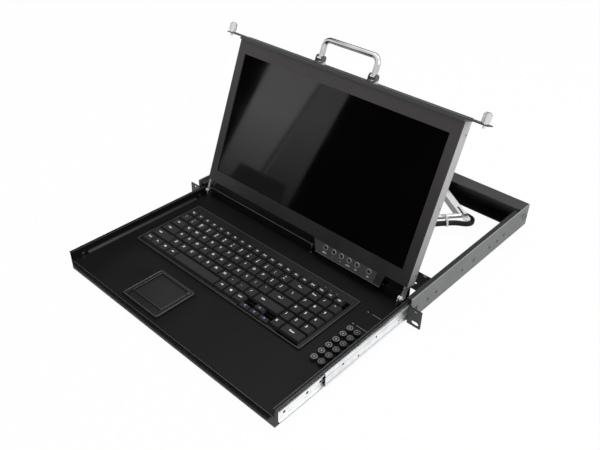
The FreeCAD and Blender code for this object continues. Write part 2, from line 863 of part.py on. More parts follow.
def rear_cover():
    """The rear wall and top of the electronics bay, its two wings and the arm's bracket."""
    floor = tray_bottom + tray_sheet
    under = tray_top - tray_sheet
    open_from = 200.8
    wall = tray_rear - tray_sheet
    top = box("rear_top", (-open_from, open_from), (18, tray_rear), (under, tray_top))
    back = box("rear_wall", (-open_from, open_from), (wall, tray_rear), (floor, under))
    pieces = [top, back]
    for side in (-1, 1):
        across = side_limits(side, wing_inner, well_half)
        pieces.append(box("wing", across, (tray_rear, wing_rear), (under, tray_top)))
        leg = side_limits(side, well_half, well_half + tray_sheet)
        pieces.append(box("wing_leg", leg, (tray_rear, wing_rear), (wall_top, tray_top)))
        across = side_limits(side, wing_inner, wing_inner + tray_sheet)
        pieces.append(box("wing_skirt", across, (tray_rear, wing_rear), (6.5, under)))
    shelf_top = shelf_low + tray_sheet
    shelf = box("arm_shelf", (-104, 4), (wall, 62), (shelf_low, shelf_top))
    window = box("arm_window", (-98, -3), (36.5, 56), (shelf_low - 1, shelf_top + 1))
    pieces.append(cut("arm_shelf_slotted", shelf, [window]))
    pieces.append(box("arm_shelf_leg", (-104, 4), (tray_rear, tray_rear + tray_sheet), (shelf_top, 8)))
    solid = fuse("rear_cover_blank", pieces)
    tools = [
        box("port_opening", (middle - half, middle + half), (wall - 1, tray_rear + 1), heights)
        for middle, half, heights in REAR_OPENINGS
    ]
    for side in (-1, 1):
        tools.append(rod("wing_hole", "z", (under - 1, tray_top + 1), side * as_size(200), 43, 2.2))
    finish(cut("rear_cover", solid, tools), "rear_cover")


def rear_ports():
    """The power inlet and the connectors in the rear wall, each a frame around a socket."""
    shells = []
    for middle, half, (low, high) in REAR_OPENINGS:
        across = (middle - half, middle + half)
        body = box("connector", across, (20, 34), (low, high))
        edge = 2
        socket = box("socket", (across[0] + edge, across[1] - edge), (23, 35), (low + edge, high - edge))
        shells.append(cut("connector_shell", body, [socket]))
    finish(group("connectors", shells), "rear_ports")


def hinge_brackets():
    """An upright plate on each side of the deck with the pin that the LCD turns on."""
    pieces = []
    for side in (-1, 1):
        across = side_limits(side, 198.5, 200.5)
        plate = box("bracket_upright", across, (0, 14), (deck_top, hinge_level))
        round_top = rod("bracket_top", "x", across, hinge_depth, hinge_level, 6)
        pin_limits = side_limits(side, 198.5, 205.8)
        pin = rod("bracket_hinge_pin", "x", pin_limits, hinge_depth, hinge_level, hinge_pin / 2)
        foot = box("bracket_foot", side_limits(side, 198.5, 206.4), (9.5, 14), (deck_top, deck_top + 1.2))
        pieces.append(fuse("hinge_bracket", [plate, round_top, pin, foot]))
    finish(group("hinge_bracket_pair", pieces), "hinge_brackets")


def tray_screws():
    """Small countersunk heads on the deck's upturned walls and the rear top plate."""
    heads = []
    screw_level = -1
    for side in (-1, 1):
        for deep in (-236, -8):
            across = side_limits(side, well_half - 0.3, well_half)
            heads.append(rod("tray_screw", "x", across, deep, screw_level, 2.2))
        heads.append(rod("wing_screw", "z", (tray_top, tray_top + 0.8), side * as_size(202), 64, 2.6))
    finish(group("tray_screw_set", heads), "tray_screws")


def indicator_leds():
    lenses = [rod("lamp", "z", (deck_top, -1.2), across, -41, 1.4) for across in LAMPS]
    finish(group("lamp_set", lenses), "indicator_leds")


tray_pan()
deck_plate()
keyboard_frame()
keyboard_base()
key_rows()
touchpad()
port_buttons()
main_board()
hinge_housing()
rear_cover()
rear_ports()
hinge_brackets()
tray_screws()
indicator_leds()


# --- LCD ------------------------------------------------------------------------------

lcd_top = lcd_foot + lcd_rise
inner_face = lcd_front + 1.6
OSD_BUTTONS = (61.2, 77.2, 91.8, 106.1, 121.1, 142.7)
OSD_LEVEL = 14.4


def lcd_bezel():
    """The front plate around the screen, with the tab of setting buttons below it."""
    body = doc.addObject("PartDesign::Body", "bezel")
    outline = new_sketch(body, "bezel_outline", "y", lcd_front)
    low = lcd_foot - 20
    points = [
        (-lcd_half, lcd_foot),
        (35.6, lcd_foot),
        (44.3, low),
        (166, low),
        (169, lcd_foot),
        (lcd_half, lcd_foot),
        (lcd_half, lcd_top),
        (-lcd_half, lcd_top),
    ]
    draw_outline(outline, points)
    pad(body, outline, "y", inner_face - lcd_front)
    window = new_sketch(body, "screen_window", "y", lcd_front - 1)
    draw_outline(window, rectangle((-screen_half, screen_half), (screen_low, screen_high)))
    pocket(body, window, "y", 4)
    holes = new_sketch(body, "setting_button_holes", "y", lcd_front - 1)
    for across in OSD_BUTTONS:
        draw_circle(holes, (across, OSD_LEVEL), 2.7)
    pocket(body, holes, "y", 4)
    back = box("tab_back", (45.2, 165), (2.8, 4), (low, lcd_foot))
    foot = box("tab_foot", (45.2, 165), (inner_face, 2.8), (low, low + 1.2))
    finish(fuse("bezel_with_tab", [body, back, foot]), "lcd_bezel", "lcd")


def lcd_back_cover():
    """The shallow rear shell, slotted at the foot for the two hinge arms."""
    limits = (-lcd_half, lcd_half)
    shell = hollow("cover_shell", limits, (inner_face, lcd_back), (lcd_foot, lcd_top), lcd_sheet, "-y")
    tools = []
    for side in (-1, 1):
        across = side_limits(side, arm_inner - 0.4, lcd_half - lcd_sheet)
        tools.append(box("arm_slot", across, (inner_face - 1, 6.6), (lcd_foot - 1, lcd_foot + 2)))
    finish(cut("lcd_shell", shell, tools), "lcd_back_cover", "lcd")


def lcd_panel():
    half = screen_half + 3
    panel = box("panel", (-half, half), (inner_face, 6), (screen_low - 3, screen_high + 3))
    finish(panel, "lcd_panel", "lcd")


def front_panel():
    """The strip along the LCD's upper edge that closes the rack unit when it is pushed in."""
    plate_low = lcd_top + panel_rise
    level = (plate_low, plate_low + panel_sheet)
    depth = (panel_front, panel_back)
    middle = box("panel_middle", (-lcd_half, lcd_half), depth, level)
    wings = box("panel_wings", (-panel_half, panel_half), (panel_front, wing_back), level)
    lower = hollow("panel_beam", (-lcd_half, lcd_half), depth, (lcd_top, plate_low), 1.2, "z")
    beam = fuse("panel_with_beam", [middle, wings, lower])
    holes = [
        rod("thumb_hole", "z", (plate_low - 1, plate_low + 3), side * thumb_across, -thumb_depth, 2)
        for side in (-1, 1)
    ]
    finish(cut("front_panel", beam, holes), "front_panel", "lcd")


def lcd_hinge_arms():
    """A flat arm in each lower corner of the LCD, bored for the hinge pin."""
    arms = []
    for side in (-1, 1):
        across = side_limits(side, arm_inner, arm_outer)
        bar = box("arm_bar", across, (inner_face, arm_radius), (0, 62))
        knuckle = rod("arm_knuckle", "x", across, 0, 0, arm_radius)
        wide = side_limits(side, arm_inner - 1, arm_outer + 1)
        bore = rod("arm_bore", "x", wide, 0, 0, hinge_pin / 2 + running_gap)
        arms.append(cut("hinge_arm", fuse("arm_blank", [bar, knuckle]), [bore]))
    finish(group("hinge_arm_pair", arms), "lcd_hinge_arms", "lcd")


panel_top = lcd_top + panel_rise + panel_sheet


def handle_brackets():
    """The two forked feet on the front panel that the bail handle turns in."""
    feet = []
    pivot_level = panel_top + grip_pivot
    for side in (-1, 1):
        middle = side * grip_half
        pieces = [rod("foot_base", "z", (panel_top, panel_top + 1.6), middle, grip_depth, 9)]
        for sign in (-1, 1):
            gap = grip_bar / 2 + 0.3
            cheek = (middle + gap, middle + gap + 2) if sign > 0 else (middle - gap - 2, middle - gap)
            cheek_depth = (grip_depth - foot_radius, grip_depth + foot_radius)
            upright = box("foot_cheek", cheek, cheek_depth, (panel_top, pivot_level))
            crown = rod("foot_crown", "x", cheek, grip_depth, pivot_level, foot_radius)
            pieces += [upright, crown]
        pin_limits = (middle - grip_bar / 2 - 2.3, middle + grip_bar / 2 + 2.3)
        pieces.append(rod("foot_pin", "x", pin_limits, grip_depth, pivot_level, 1.5))
        feet.append(fuse("handle_foot", pieces))
    finish(group("handle_feet", feet), "handle_brackets", "lcd")


def handle():
    """The bail handle: a round bar bent to a U, its flattened ends bored for the pins."""
    pivot_level = panel_top + grip_pivot
    top = pivot_level + grip_reach - grip_bar
    body = doc.addObject("PartDesign::Body", "bail")
    path = new_sketch(body, "bail_path", "y", grip_depth)
    half = grip_half.number
    bend = grip_bend.number
    low = pivot_level.number
    high = top.number
    left_leg = Part.LineSegment(FreeCAD.Vector(-half, low, 0), FreeCAD.Vector(-half, high - bend, 0))
    left_middle = FreeCAD.Vector(bend - half, high - bend, 0)
    left_bend = Part.ArcOfCircle(Part.Circle(left_middle, UP, bend), math.pi / 2, math.pi)
    bar = Part.LineSegment(FreeCAD.Vector(bend - half, high, 0), FreeCAD.Vector(half - bend, high, 0))
    right_middle = FreeCAD.Vector(half - bend, high - bend, 0)
    right_bend = Part.ArcOfCircle(Part.Circle(right_middle, UP, bend), 0, math.pi / 2)
    right_leg = Part.LineSegment(FreeCAD.Vector(half, high - bend, 0), FreeCAD.Vector(half, low, 0))
    leg, corner, middle_bar, far_corner, far_leg = [
        path.addGeometry(item, False) for item in (left_leg, left_bend, bar, right_bend, right_leg)
    ]
    for one, its_end, other, its_start in (
        (leg, 2, corner, 2),
        (corner, 1, middle_bar, 1),
        (middle_bar, 2, far_corner, 2),
        (far_corner, 1, far_leg, 1),
    ):
        path.addConstraint(Sketcher.Constraint("Coincident", one, its_end, other, its_start))
    hold_point(path, leg, 1, (-grip_half, pivot_level))
    hold_point(path, far_leg, 2, (grip_half, pivot_level))
    hold_point(path, corner, 3, (grip_bend - grip_half, top - grip_bend))
    hold_point(path, far_corner, 3, (grip_half - grip_bend, top - grip_bend))
    path.addConstraint(Sketcher.Constraint("Horizontal", corner, 3, leg, 2))
    path.addConstraint(Sketcher.Constraint("Horizontal", far_corner, 3, far_leg, 1))
    hold_point(path, middle_bar, 1, (grip_bend - grip_half, top))
    hold_point(path, middle_bar, 2, (grip_half - grip_bend, top))
    section = new_sketch(body, "bail_section", "z", pivot_level)
    draw_circle(section, (-grip_half, grip_depth), grip_bar / 2)
    pipe = body.newObject("PartDesign::AdditivePipe", "bail_pipe")
    pipe.Profile = section
    pipe.Spine = path
    doc.recompute()
    eye_half = grip_bar / 2 - 0.5
    eye_radius = grip_bar / 2 + 0.35
    ends = []
    bores = []
    for side in (-1, 1):
        middle = side * grip_half
        eye_limits = (middle - eye_half, middle + eye_half)
        bore_limits = (middle - grip_bar, middle + grip_bar)
        ends.append(rod("bail_eye", "x", eye_limits, grip_depth, pivot_level, eye_radius))
        bores.append(rod("bail_bore", "x", bore_limits, grip_depth, pivot_level, 1.5 + running_gap))
    finish(cut("bail_handle", fuse("bail_with_ends", [body] + ends), bores), "handle", "lcd")


def thumbscrew(name, side):
    """A captive screw: a turned head in front of the panel and a shank through it."""
    middle = side * thumb_across
    depth = -thumb_depth
    low = lcd_top + panel_rise
    start = panel_top + 0.1
    pieces = [
        rod("thumb_shank", "z", (low - 4, start), middle, depth, 1.95),
        rod("thumb_collar", "z", (start, start + 2), middle, depth, 3.4),
        rod("thumb_head", "z", (start + 2, start + 13), middle, depth, 5.8),
        rod("thumb_tip", "z", (start + 13, start + 15), middle, depth, 4),
    ]
    slot = box(
        "thumb_slot",
        (middle - 6, middle + 6),
        (depth - 0.6, depth + 0.6),
        (start + 12.5, start + 16),
    )
    finish(cut("thumbscrew", fuse("thumb_blank", pieces), [slot]), name, "lcd")


def osd_buttons():
    for number, across in enumerate(OSD_BUTTONS, 1):
        cap = rod("setting_button", "y", (lcd_front - 0.9, inner_face + 2.4), across, OSD_LEVEL, 2.5)
        finish(cap, "osd_button_%d" % number, "lcd")


def lcd_screws():
    """Screw heads along the LCD's two side walls."""
    heads = []
    for side in (-1, 1):
        for rise in (15.9, 116.5, 219.4):
            across = side_limits(side, lcd_half, lcd_half + 0.3)
            heads.append(rod("lcd_screw", "x", across, 12, lcd_foot + rise, 2.4))
    finish(group("lcd_screw_set", heads), "lcd_screws", "lcd")


lcd_bezel()
lcd_back_cover()
lcd_panel()
front_panel()
lcd_hinge_arms()
handle_brackets()
handle()
thumbscrew("thumbscrew_left", -1)
thumbscrew("thumbscrew_right", 1)
osd_buttons()
lcd_screws()


# --- cable arm ------------------------------------------------------------------------

reach_across, reach_depth = turned_place(rear_turn, rear_length)
elbow_across = pivot_across + reach_across
elbow_depth = pivot_depth + reach_depth
rear_web = rear_top - link_sheet
front_web = front_low + link_sheet
rear_cable = rear_web - cable_gap - cable_bundle / 2
front_cable = -4.2
front_cable_side = front_half + 0.5 + cable_bundle / 2


def arm_link_rear():
    """The rear link: a channel open below, its web run on past the elbow and slotted."""
    tail = rear_length + rear_tail
    web = obround("rear_web", 0, tail, rear_half, (rear_web, rear_top))
    bottom = rear_top - rear_wall
    near = box("rear_near_wall", (8, 102), (-rear_half, -rear_half + 0.8), (bottom, rear_top))
    far = box("rear_far_wall", (8, 92), (rear_half - 0.8, rear_half), (bottom, rear_top))
    bores = [
        rod("rear_bore", "z", (rear_web - 1, rear_top + 1), 0, 0, pin_radius + running_gap),
        rod("elbow_bore", "z", (rear_web - 1, rear_top + 1), rear_length, 0, pin_radius),
        obround("rear_slot", 90, 111, 1.7, (rear_web - 1, rear_top + 1)),
    ]
    finish(cut("rear_link", fuse("rear_link_blank", [web, near, far]), bores), "arm_link_rear", "rear_link")


def arm_link_front():
    """The front link: a shallow channel open above, with the pin that runs in the tray's window."""
    web = obround("front_web", 0, front_length, front_half, (front_low, front_web))
    walls = [
        box("front_side_wall", (6, 250), edge, (front_low, front_low + front_wall))
        for edge in ((-front_half, -front_half + 0.8), (front_half - 0.8, front_half))
    ]
    bore = rod("front_bore", "z", (front_low - 1, front_web + 1), 0, 0, pin_radius + running_gap)
    blank = cut("front_link", fuse("front_link_blank", [web] + walls), [bore])
    pin = rod("front_pin", "z", (shelf_low - 3, front_low), front_length, 0, pin_radius)
    finish(fuse("front_link_with_pin", [blank, pin]), "arm_link_front", "front_link")


def arm_elbow_pin():
    shaft = rod("elbow_shaft", "z", (rear_web - 0.4, front_web + 0.4), rear_length, 0, pin_radius)
    washer = rod("elbow_washer", "z", (rear_top, front_low - 0.2), rear_length, 0, 4.5)
    head = rod("elbow_head", "z", (front_web + 0.3, front_web + 1.5), rear_length, 0, 3.1)
    finish(fuse("elbow_pin", [shaft, washer, head]), "arm_elbow_pin", "rear_link")


def zip_tie(name, along, aside, level, frame):
    """A band drawn tight round the bundle."""
    radius = cable_bundle / 2
    ring = rod("tie_ring", "x", (along, along + 2.5), aside, level, radius + 0.35)
    bore = rod("tie_bore", "x", (along - 1, along + 4), aside, level, radius)
    finish(cut("tie", ring, [bore]), name, frame)


def cables():
    """The bundle that the arm carries: inside the rear link, round the elbow, beside the front one."""
    radius = cable_bundle / 2
    rear_run = rod("rear_run", "x", (14, elbow_start), 0, rear_cable, radius)
    finish(group("cable_rear_run", [rear_run]), "cable_rear", "rear_link")
    front_run = rod("front_run", "x", (elbow_end, 246), front_cable_side, front_cable, radius)
    finish(group("cable_front_run", [front_run]), "cable_front", "front_link")
    zip_tie("zip_tie_rear", 78, 0, rear_cable, "rear_link")
    zip_tie("zip_tie_front", 33, front_cable_side, front_cable, "front_link")
    loop = doc.addObject("Part::Feature", "elbow_loop")
    loop.Shape = tube_through(elbow_route(rear_cable, as_size(front_cable)), radius.number)
    finish(loop, "cable_elbow", "rear_link")


def link_point(angle, start, along, aside, level):
    """A point beside a link, from the link's own length and offset to X, Y and Z."""
    turn = math.radians(angle)
    x = start[0] + along * math.cos(turn) - aside * math.sin(turn)
    y = start[1] + along * math.sin(turn) + aside * math.cos(turn)
    return FreeCAD.Vector(x, y, level)


def elbow_route(rear_level, front_level):
    """The loop's corner points in the rear link's frame, from one run round to the other."""
    low = rear_level.number
    high = front_level.number
    fold = front_turn.number - rear_turn.number
    hub = (rear_length.number, 0)
    aside = front_cable_side.number
    return [
        FreeCAD.Vector(elbow_start.number, 0, low),
        FreeCAD.Vector(98, 0, low),
        FreeCAD.Vector(109, 9, low),
        FreeCAD.Vector(122, 14, low + 0.5),
        FreeCAD.Vector(133, 7, low + 1),
        FreeCAD.Vector(135, -6, high - 0.4),
        link_point(fold, hub, 17, aside, high),
        link_point(fold, hub, elbow_end.number, aside, high),
    ]


def tube_through(points, radius):
    """Straight runs joined by tangent arcs as large as the runs allow, swept by a circle."""
    edges = []
    last = points[0]
    for before, corner, after in zip(points, points[1:], points[2:]):
        back = (before - corner).normalize()
        ahead = (after - corner).normalize()
        turn = math.pi - back.getAngle(ahead)
        reach = 0.45 * min((before - corner).Length, (after - corner).Length)
        arc_radius = reach / math.tan(turn / 2)
        print("cable bend radius %.1f mm" % arc_radius)
        enter = corner + back * reach
        leave = corner + ahead * reach
        bisector = (back + ahead).normalize()
        middle = corner + bisector * (arc_radius / math.cos(turn / 2) - arc_radius)
        edges.append(Part.LineSegment(last, enter).toShape())
        edges.append(Part.Arc(enter, middle, leave).toShape())
        last = leave
    edges.append(Part.LineSegment(last, points[-1]).toShape())
    path = Part.Wire(edges)
    start_direction = (points[1] - points[0]).normalize()
    circle = Part.Wire([Part.Circle(points[0], start_direction, radius).toShape()])
    tube = path.makePipeShell([circle], True, True)
    expected = math.pi * radius * radius * path.Length
    print("cable volume %.1f, section times length %.1f" % (tube.Volume, expected))
    return tube


arm_link_rear()
arm_link_front()
arm_elbow_pin()
cables()


# --- check and write --------------------------------------------------------------------

doc.recompute()
for item in doc.Objects:
    if "Invalid" in item.State or "Error" in item.State:
        raise ValueError("%s is in state %s" % (item.Name, item.State))
for item in sub_parts:
    if item.Shape.isNull() or not item.Shape.isValid():
        raise ValueError("%s has no valid shape" % item.Label)

os.makedirs("parts", exist_ok=True)
for item in sub_parts:
    item.Shape.exportStep("parts/%s.step" % item.Label)
print("%d sub-parts written" % len(sub_parts))
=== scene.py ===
import math

import bmesh
import bpy
from mathutils import Euler, Matrix, Vector


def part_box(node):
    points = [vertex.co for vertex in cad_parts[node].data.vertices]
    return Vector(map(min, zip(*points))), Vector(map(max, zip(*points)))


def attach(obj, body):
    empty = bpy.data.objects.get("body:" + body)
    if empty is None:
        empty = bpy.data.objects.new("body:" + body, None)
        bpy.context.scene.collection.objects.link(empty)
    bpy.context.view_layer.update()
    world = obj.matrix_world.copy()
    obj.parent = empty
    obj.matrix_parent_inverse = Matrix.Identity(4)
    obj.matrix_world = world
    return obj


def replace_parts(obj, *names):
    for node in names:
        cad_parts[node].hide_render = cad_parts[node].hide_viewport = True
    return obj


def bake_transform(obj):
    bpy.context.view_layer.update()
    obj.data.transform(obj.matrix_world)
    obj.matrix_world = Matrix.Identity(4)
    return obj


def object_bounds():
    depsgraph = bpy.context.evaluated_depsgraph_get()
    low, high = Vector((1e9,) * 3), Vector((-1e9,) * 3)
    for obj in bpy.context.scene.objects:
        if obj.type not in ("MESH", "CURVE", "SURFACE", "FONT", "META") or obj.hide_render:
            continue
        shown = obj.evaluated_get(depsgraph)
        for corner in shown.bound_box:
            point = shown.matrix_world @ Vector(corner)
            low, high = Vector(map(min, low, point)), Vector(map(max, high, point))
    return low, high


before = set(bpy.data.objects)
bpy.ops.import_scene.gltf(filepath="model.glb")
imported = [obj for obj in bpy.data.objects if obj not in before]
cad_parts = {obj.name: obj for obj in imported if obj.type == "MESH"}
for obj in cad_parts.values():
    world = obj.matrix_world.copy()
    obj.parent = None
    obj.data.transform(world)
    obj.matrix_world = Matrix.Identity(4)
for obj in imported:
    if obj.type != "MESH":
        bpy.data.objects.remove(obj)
cad_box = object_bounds()
scene = bpy.context.scene

# --- camera -------------------------------------------------------------------------
# A product view from the right and above, close enough for a clear perspective.
# The whole console drawer fills most of the picture.
AZIMUTH = math.radians(42.21)
ELEVATION = math.radians(35.02)
ROLL = math.radians(1.3)
TARGET = Vector((-0.0023, 0.0198, 0.0406))
DISTANCE = 1.0652

camera_data = bpy.data.cameras.new("product_camera")
camera_data.sensor_width = 36
camera_data.lens = 41.31
camera_data.clip_end = 50
camera = bpy.data.objects.new("product_camera", camera_data)
scene.collection.objects.link(camera)
aim = Euler((math.pi / 2 - ELEVATION, 0, AZIMUTH)).to_matrix()
turned = (aim @ Matrix.Rotation(ROLL, 3, "Z")).to_4x4()
camera.matrix_world = Matrix.Translation(TARGET + DISTANCE * (aim @ Vector((0, 0, 1)))) @ turned
scene.camera = camera
scene.view_settings.view_transform = "Standard"


# --- studio -------------------------------------------------------------------------
# A white sweep under a large overhead softbox, with a dark flag and a grey card to the
# front left that only the glossy surfaces see.
def shader_tree(name):
    """A new material with its node tree, its Principled shader and Object coordinates."""
    material = bpy.data.materials.new(name)
    material.use_nodes = True
    tree = material.node_tree
    shader = tree.nodes["Principled BSDF"]
    place = tree.nodes.new("ShaderNodeTexCoord").outputs["Object"]
    return material, tree, shader, place


def seen_directly(tree):
    """1 for rays that show the background itself: straight, mirrored or refracted."""
    path = tree.nodes.new("ShaderNodeLightPath")
    total = path.outputs["Is Camera Ray"]
    for name in ("Is Glossy Ray", "Is Transmission Ray"):
        add = tree.nodes.new("ShaderNodeMath")
        add.operation = "MAXIMUM"
        tree.links.new(total, add.inputs[0])
        tree.links.new(path.outputs[name], add.inputs[1])
        total = add.outputs[0]
    return total


world = bpy.data.worlds.new("studio")
scene.world = world
world.use_nodes = True
sky = world.node_tree.nodes["Background"]
sky.inputs["Color"].default_value = (1, 1, 1, 1)
level = world.node_tree.nodes.new("ShaderNodeMapRange")
level.inputs["To Min"].default_value = 0.5
level.inputs["To Max"].default_value = 1.0
world.node_tree.links.new(seen_directly(world.node_tree), level.inputs["Value"])
world.node_tree.links.new(level.outputs["Result"], sky.inputs["Strength"])

low, high = (Vector(corner) for corner in cad_box)


def stage_plane(name, corners, material):
    mesh = bpy.data.meshes.new(name)
    mesh.from_pydata([tuple(corner) for corner in corners], [], [tuple(range(len(corners)))])
    plane = bpy.data.objects.new(name, mesh)
    scene.collection.objects.link(plane)
    mesh.materials.append(material)
    return plane


def floor_material():
    material, tree, shader = shader_tree("floor_paper")[:3]
    shader.inputs["Base Color"].default_value = (0.88, 0.88, 0.88, 1)
    shader.inputs["Roughness"].default_value = 0.9
    shader.inputs["Specular IOR Level"].default_value = 0.1
    white = tree.nodes.new("ShaderNodeEmission")
    blend = tree.nodes.new("ShaderNodeMixShader")
    share = tree.nodes.new("ShaderNodeMath")
    share.operation = "MULTIPLY"
    share.inputs[1].default_value = 0.97
    tree.links.new(seen_directly(tree), share.inputs[0])
    tree.links.new(share.outputs[0], blend.inputs[0])
    tree.links.new(shader.outputs[0], blend.inputs[1])
    tree.links.new(white.outputs[0], blend.inputs[2])
    tree.links.new(blend.outputs[0], tree.nodes["Material Output"].inputs["Surface"])
    return material


def card_material(name, level, fade):
    """A plain glow that fades towards the card's foot, below the given height."""
    material, tree, _, place = shader_tree(name)
    glow = tree.nodes.new("ShaderNodeEmission")
    if fade:
        split = tree.nodes.new("ShaderNodeSeparateXYZ")
        rise = tree.nodes.new("ShaderNodeMapRange")
        rise.inputs["From Max"].default_value = fade
        rise.inputs["To Min"].default_value = level * 0.25
        rise.inputs["To Max"].default_value = level
        tree.links.new(place, split.inputs[0])
        tree.links.new(split.outputs[2], rise.inputs["Value"])
        tree.links.new(rise.outputs["Result"], glow.inputs["Strength"])
    else:
        glow.inputs["Strength"].default_value = level
    tree.links.new(glow.outputs[0], tree.nodes["Material Output"].inputs["Surface"])
    return material


floor_level = low.z - 0.001
stage_plane(
    "floor",
    [(-6, -6, floor_level), (6, -6, floor_level), (6, 6, floor_level), (-6, 6, floor_level)],
    floor_material(),
)


def card(name, corners, level, fade=0.0):
    plane = stage_plane(name, corners, card_material(name, level, fade))
    plane.visible_camera = False
    plane.visible_diffuse = False
    plane.visible_shadow = False
    return plane


def upright_card(name, foot, head, bottom, top, depth, level, fade=0.0):
    """A card standing square to the front, from foot limits to head limits."""
    corners = [
        (foot[0], depth, bottom), (foot[1], depth, bottom), (head[1], depth, top), (head[0], depth, top),
    ]
    return card(name, corners, level, fade)


upright_card("dark_flag", (-2.9, -0.25), (-2.9, -0.25), -0.03, 0.85, -2.0, 0.012)
upright_card("pale_card", (-1.9, -1.38), (-1.93, -1.36), -0.02, 1.1, -1.9, 1.35, 0.45)
upright_card("grey_card", (-1.6, -1.37), (-1.5, -1.36), -0.02, 1.1, -1.89, 0.75, 0.5)
upright_card("curtain_fold", (-1.63, -1.6), (-1.5, -1.49), 0.05, 1.0, -1.88, 0.35)
upright_card("low_case", (-1.78, -1.38), (-1.75, -1.42), -0.02, 0.14, -1.87, 0.16)
card("ceiling_flag", [(-2.9, 0.0, 0.7), (-0.2, 2.9, 0.7), (0.9, 1.9, 3.2), (-1.9, -1.1, 3.2)], 0.03)
card("floor_flag", [(-2.0, -1.8, floor_level + 0.001), (0.2, -1.8, floor_level + 0.001),
                    (0.2, -0.257, floor_level + 0.001), (-2.0, -0.257, floor_level + 0.001)], 0.02)
card("back_flag", [(-2.6, 2.6, 0.3), (0.1, 2.6, 0.3), (0.1, 2.6, 1.1), (-2.6, 2.6, 1.1)], 0.02)
card("rear_floor_flag", [(-2.4, 0.6, floor_level + 0.001), (0.1, 0.6, floor_level + 0.001),
                         (0.1, 2.5, floor_level + 0.001), (-2.4, 2.5, floor_level + 0.001)], 0.02)


def softbox(name, place, aim_at, size, power):
    data = bpy.data.lights.new(name, "AREA")
    data.shape = "RECTANGLE"
    data.size, data.size_y = size
    data.energy = power
    lamp = bpy.data.objects.new(name, data)
    scene.collection.objects.link(lamp)
    lamp.location = place
    lamp.rotation_euler = (Vector(aim_at) - Vector(place)).to_track_quat("-Z", "Y").to_euler()
    return lamp


softbox("overhead", (0, 0.4, 1.7), (0, 0.1, 0), (2.2, 1.6), 16)
softbox("right_fill", (1.8, 0.3, 0.9), (0.1, 0.1, 0.1), (1.2, 1.2), 12)


# --- rack frame ---------------------------------------------------------------------
# Side plates and rear channel are bent steel with a fine, slightly green-grey textured
# paint; the ears are the same sheet in black.  Bent edges are a little rounded.
def fine_noise(tree, place, scale, detail=3.0, roughness=0.55):
    noise = tree.nodes.new("ShaderNodeTexNoise")
    noise.inputs["Scale"].default_value = scale
    noise.inputs["Detail"].default_value = detail
    noise.inputs["Roughness"].default_value = roughness
    tree.links.new(place, noise.inputs["Vector"])
    return noise.outputs["Fac"]


def ramp(tree, value, stops):
    """A colour ramp from (position, colour) stops."""
    node = tree.nodes.new("ShaderNodeValToRGB")
    elements = node.color_ramp.elements
    elements[0].position, elements[0].color = stops[0][0], (*stops[0][1], 1)
    elements[1].position, elements[1].color = stops[-1][0], (*stops[-1][1], 1)
    for position, colour in stops[1:-1]:
        elements.new(position).color = (*colour, 1)
    tree.links.new(value, node.inputs["Fac"])
    return node.outputs["Color"]


def spread(tree, value, low_end, high_end, start=0.3, stop=0.7):
    node = tree.nodes.new("ShaderNodeMapRange")
    node.inputs["From Min"].default_value = start
    node.inputs["From Max"].default_value = stop
    node.inputs["To Min"].default_value = low_end
    node.inputs["To Max"].default_value = high_end
    tree.links.new(value, node.inputs["Value"])
    return node.outputs["Result"]


def add_bump(tree, shader, value, depth, strength=1.0):
    node = tree.nodes.new("ShaderNodeBump")
    node.inputs["Strength"].default_value = strength
    node.inputs["Distance"].default_value = depth
    tree.links.new(value, node.inputs["Height"])
    tree.links.new(node.outputs["Normal"], shader.inputs["Normal"])


def scaled(tree, place, factors):
    node = tree.nodes.new("ShaderNodeMapping")
    node.inputs["Scale"].default_value = factors
    tree.links.new(place, node.inputs["Vector"])
    return node.outputs["Vector"]


def tint(colour, factor):
    return tuple(min(1.0, channel * factor) for channel in colour)


def coat(name, colour, roughness, gloss, grain=1500, depth=0.00003, speckle=0.25):
    """Paint or moulded plastic: speckled colour, cloudy roughness and a fine grain."""
    material, tree, shader, place = shader_tree(name)
    fine = fine_noise(tree, place, grain, 4.0, 0.6)
    clouds = fine_noise(tree, place, 18, 3.0)
    stops = [(0.3, tint(colour, 1 - speckle)), (0.5, colour), (0.72, tint(colour, 1 + speckle))]
    tree.links.new(ramp(tree, fine, stops), shader.inputs["Base Color"])
    tree.links.new(spread(tree, clouds, roughness - 0.05, roughness + 0.06), shader.inputs["Roughness"])
    shader.inputs["Specular IOR Level"].default_value = gloss
    add_bump(tree, shader, fine, depth)
    return material


def paint(node, material, bevel=0.0003, segments=2):
    """Gives a CAD node its finish, and a small round on its sharp edges."""
    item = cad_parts[node]
    item.data.materials.clear()
    item.data.materials.append(material)
    if bevel:
        edge = item.modifiers.new("edge_round", "BEVEL")
        edge.width = bevel
        edge.segments = segments
        edge.limit_method = "ANGLE"
        edge.angle_limit = math.radians(40)
        edge.harden_normals = True
    return item


def zoned(name, base, other, axis, start, stop, roughness, gloss, grain=1500, depth=0.00003, speckle=0.25):
    """Paint that turns from one tone to another along one axis, used for painted highlights along edges and
    for painted light and shade gradients.
    """
    material = coat(name, base, roughness, gloss, grain, depth, speckle)
    tree = material.node_tree
    shader = tree.nodes["Principled BSDF"]
    painted = shader.inputs["Base Color"].links[0].from_socket
    split = tree.nodes.new("ShaderNodeSeparateXYZ")
    tree.links.new(tree.nodes["Texture Coordinate"].outputs["Object"], split.inputs[0])
    share = spread(tree, split.outputs[axis], 0.0, 1.0, start, stop)
    blend = tree.nodes.new("ShaderNodeMix")
    blend.data_type = "RGBA"
    blend.inputs["B"].default_value = (*other, 1)
    tree.links.new(share, blend.inputs["Factor"])
    tree.links.new(painted, blend.inputs["A"])
    tree.links.new(blend.outputs["Result"], shader.inputs["Base Color"])
    return material


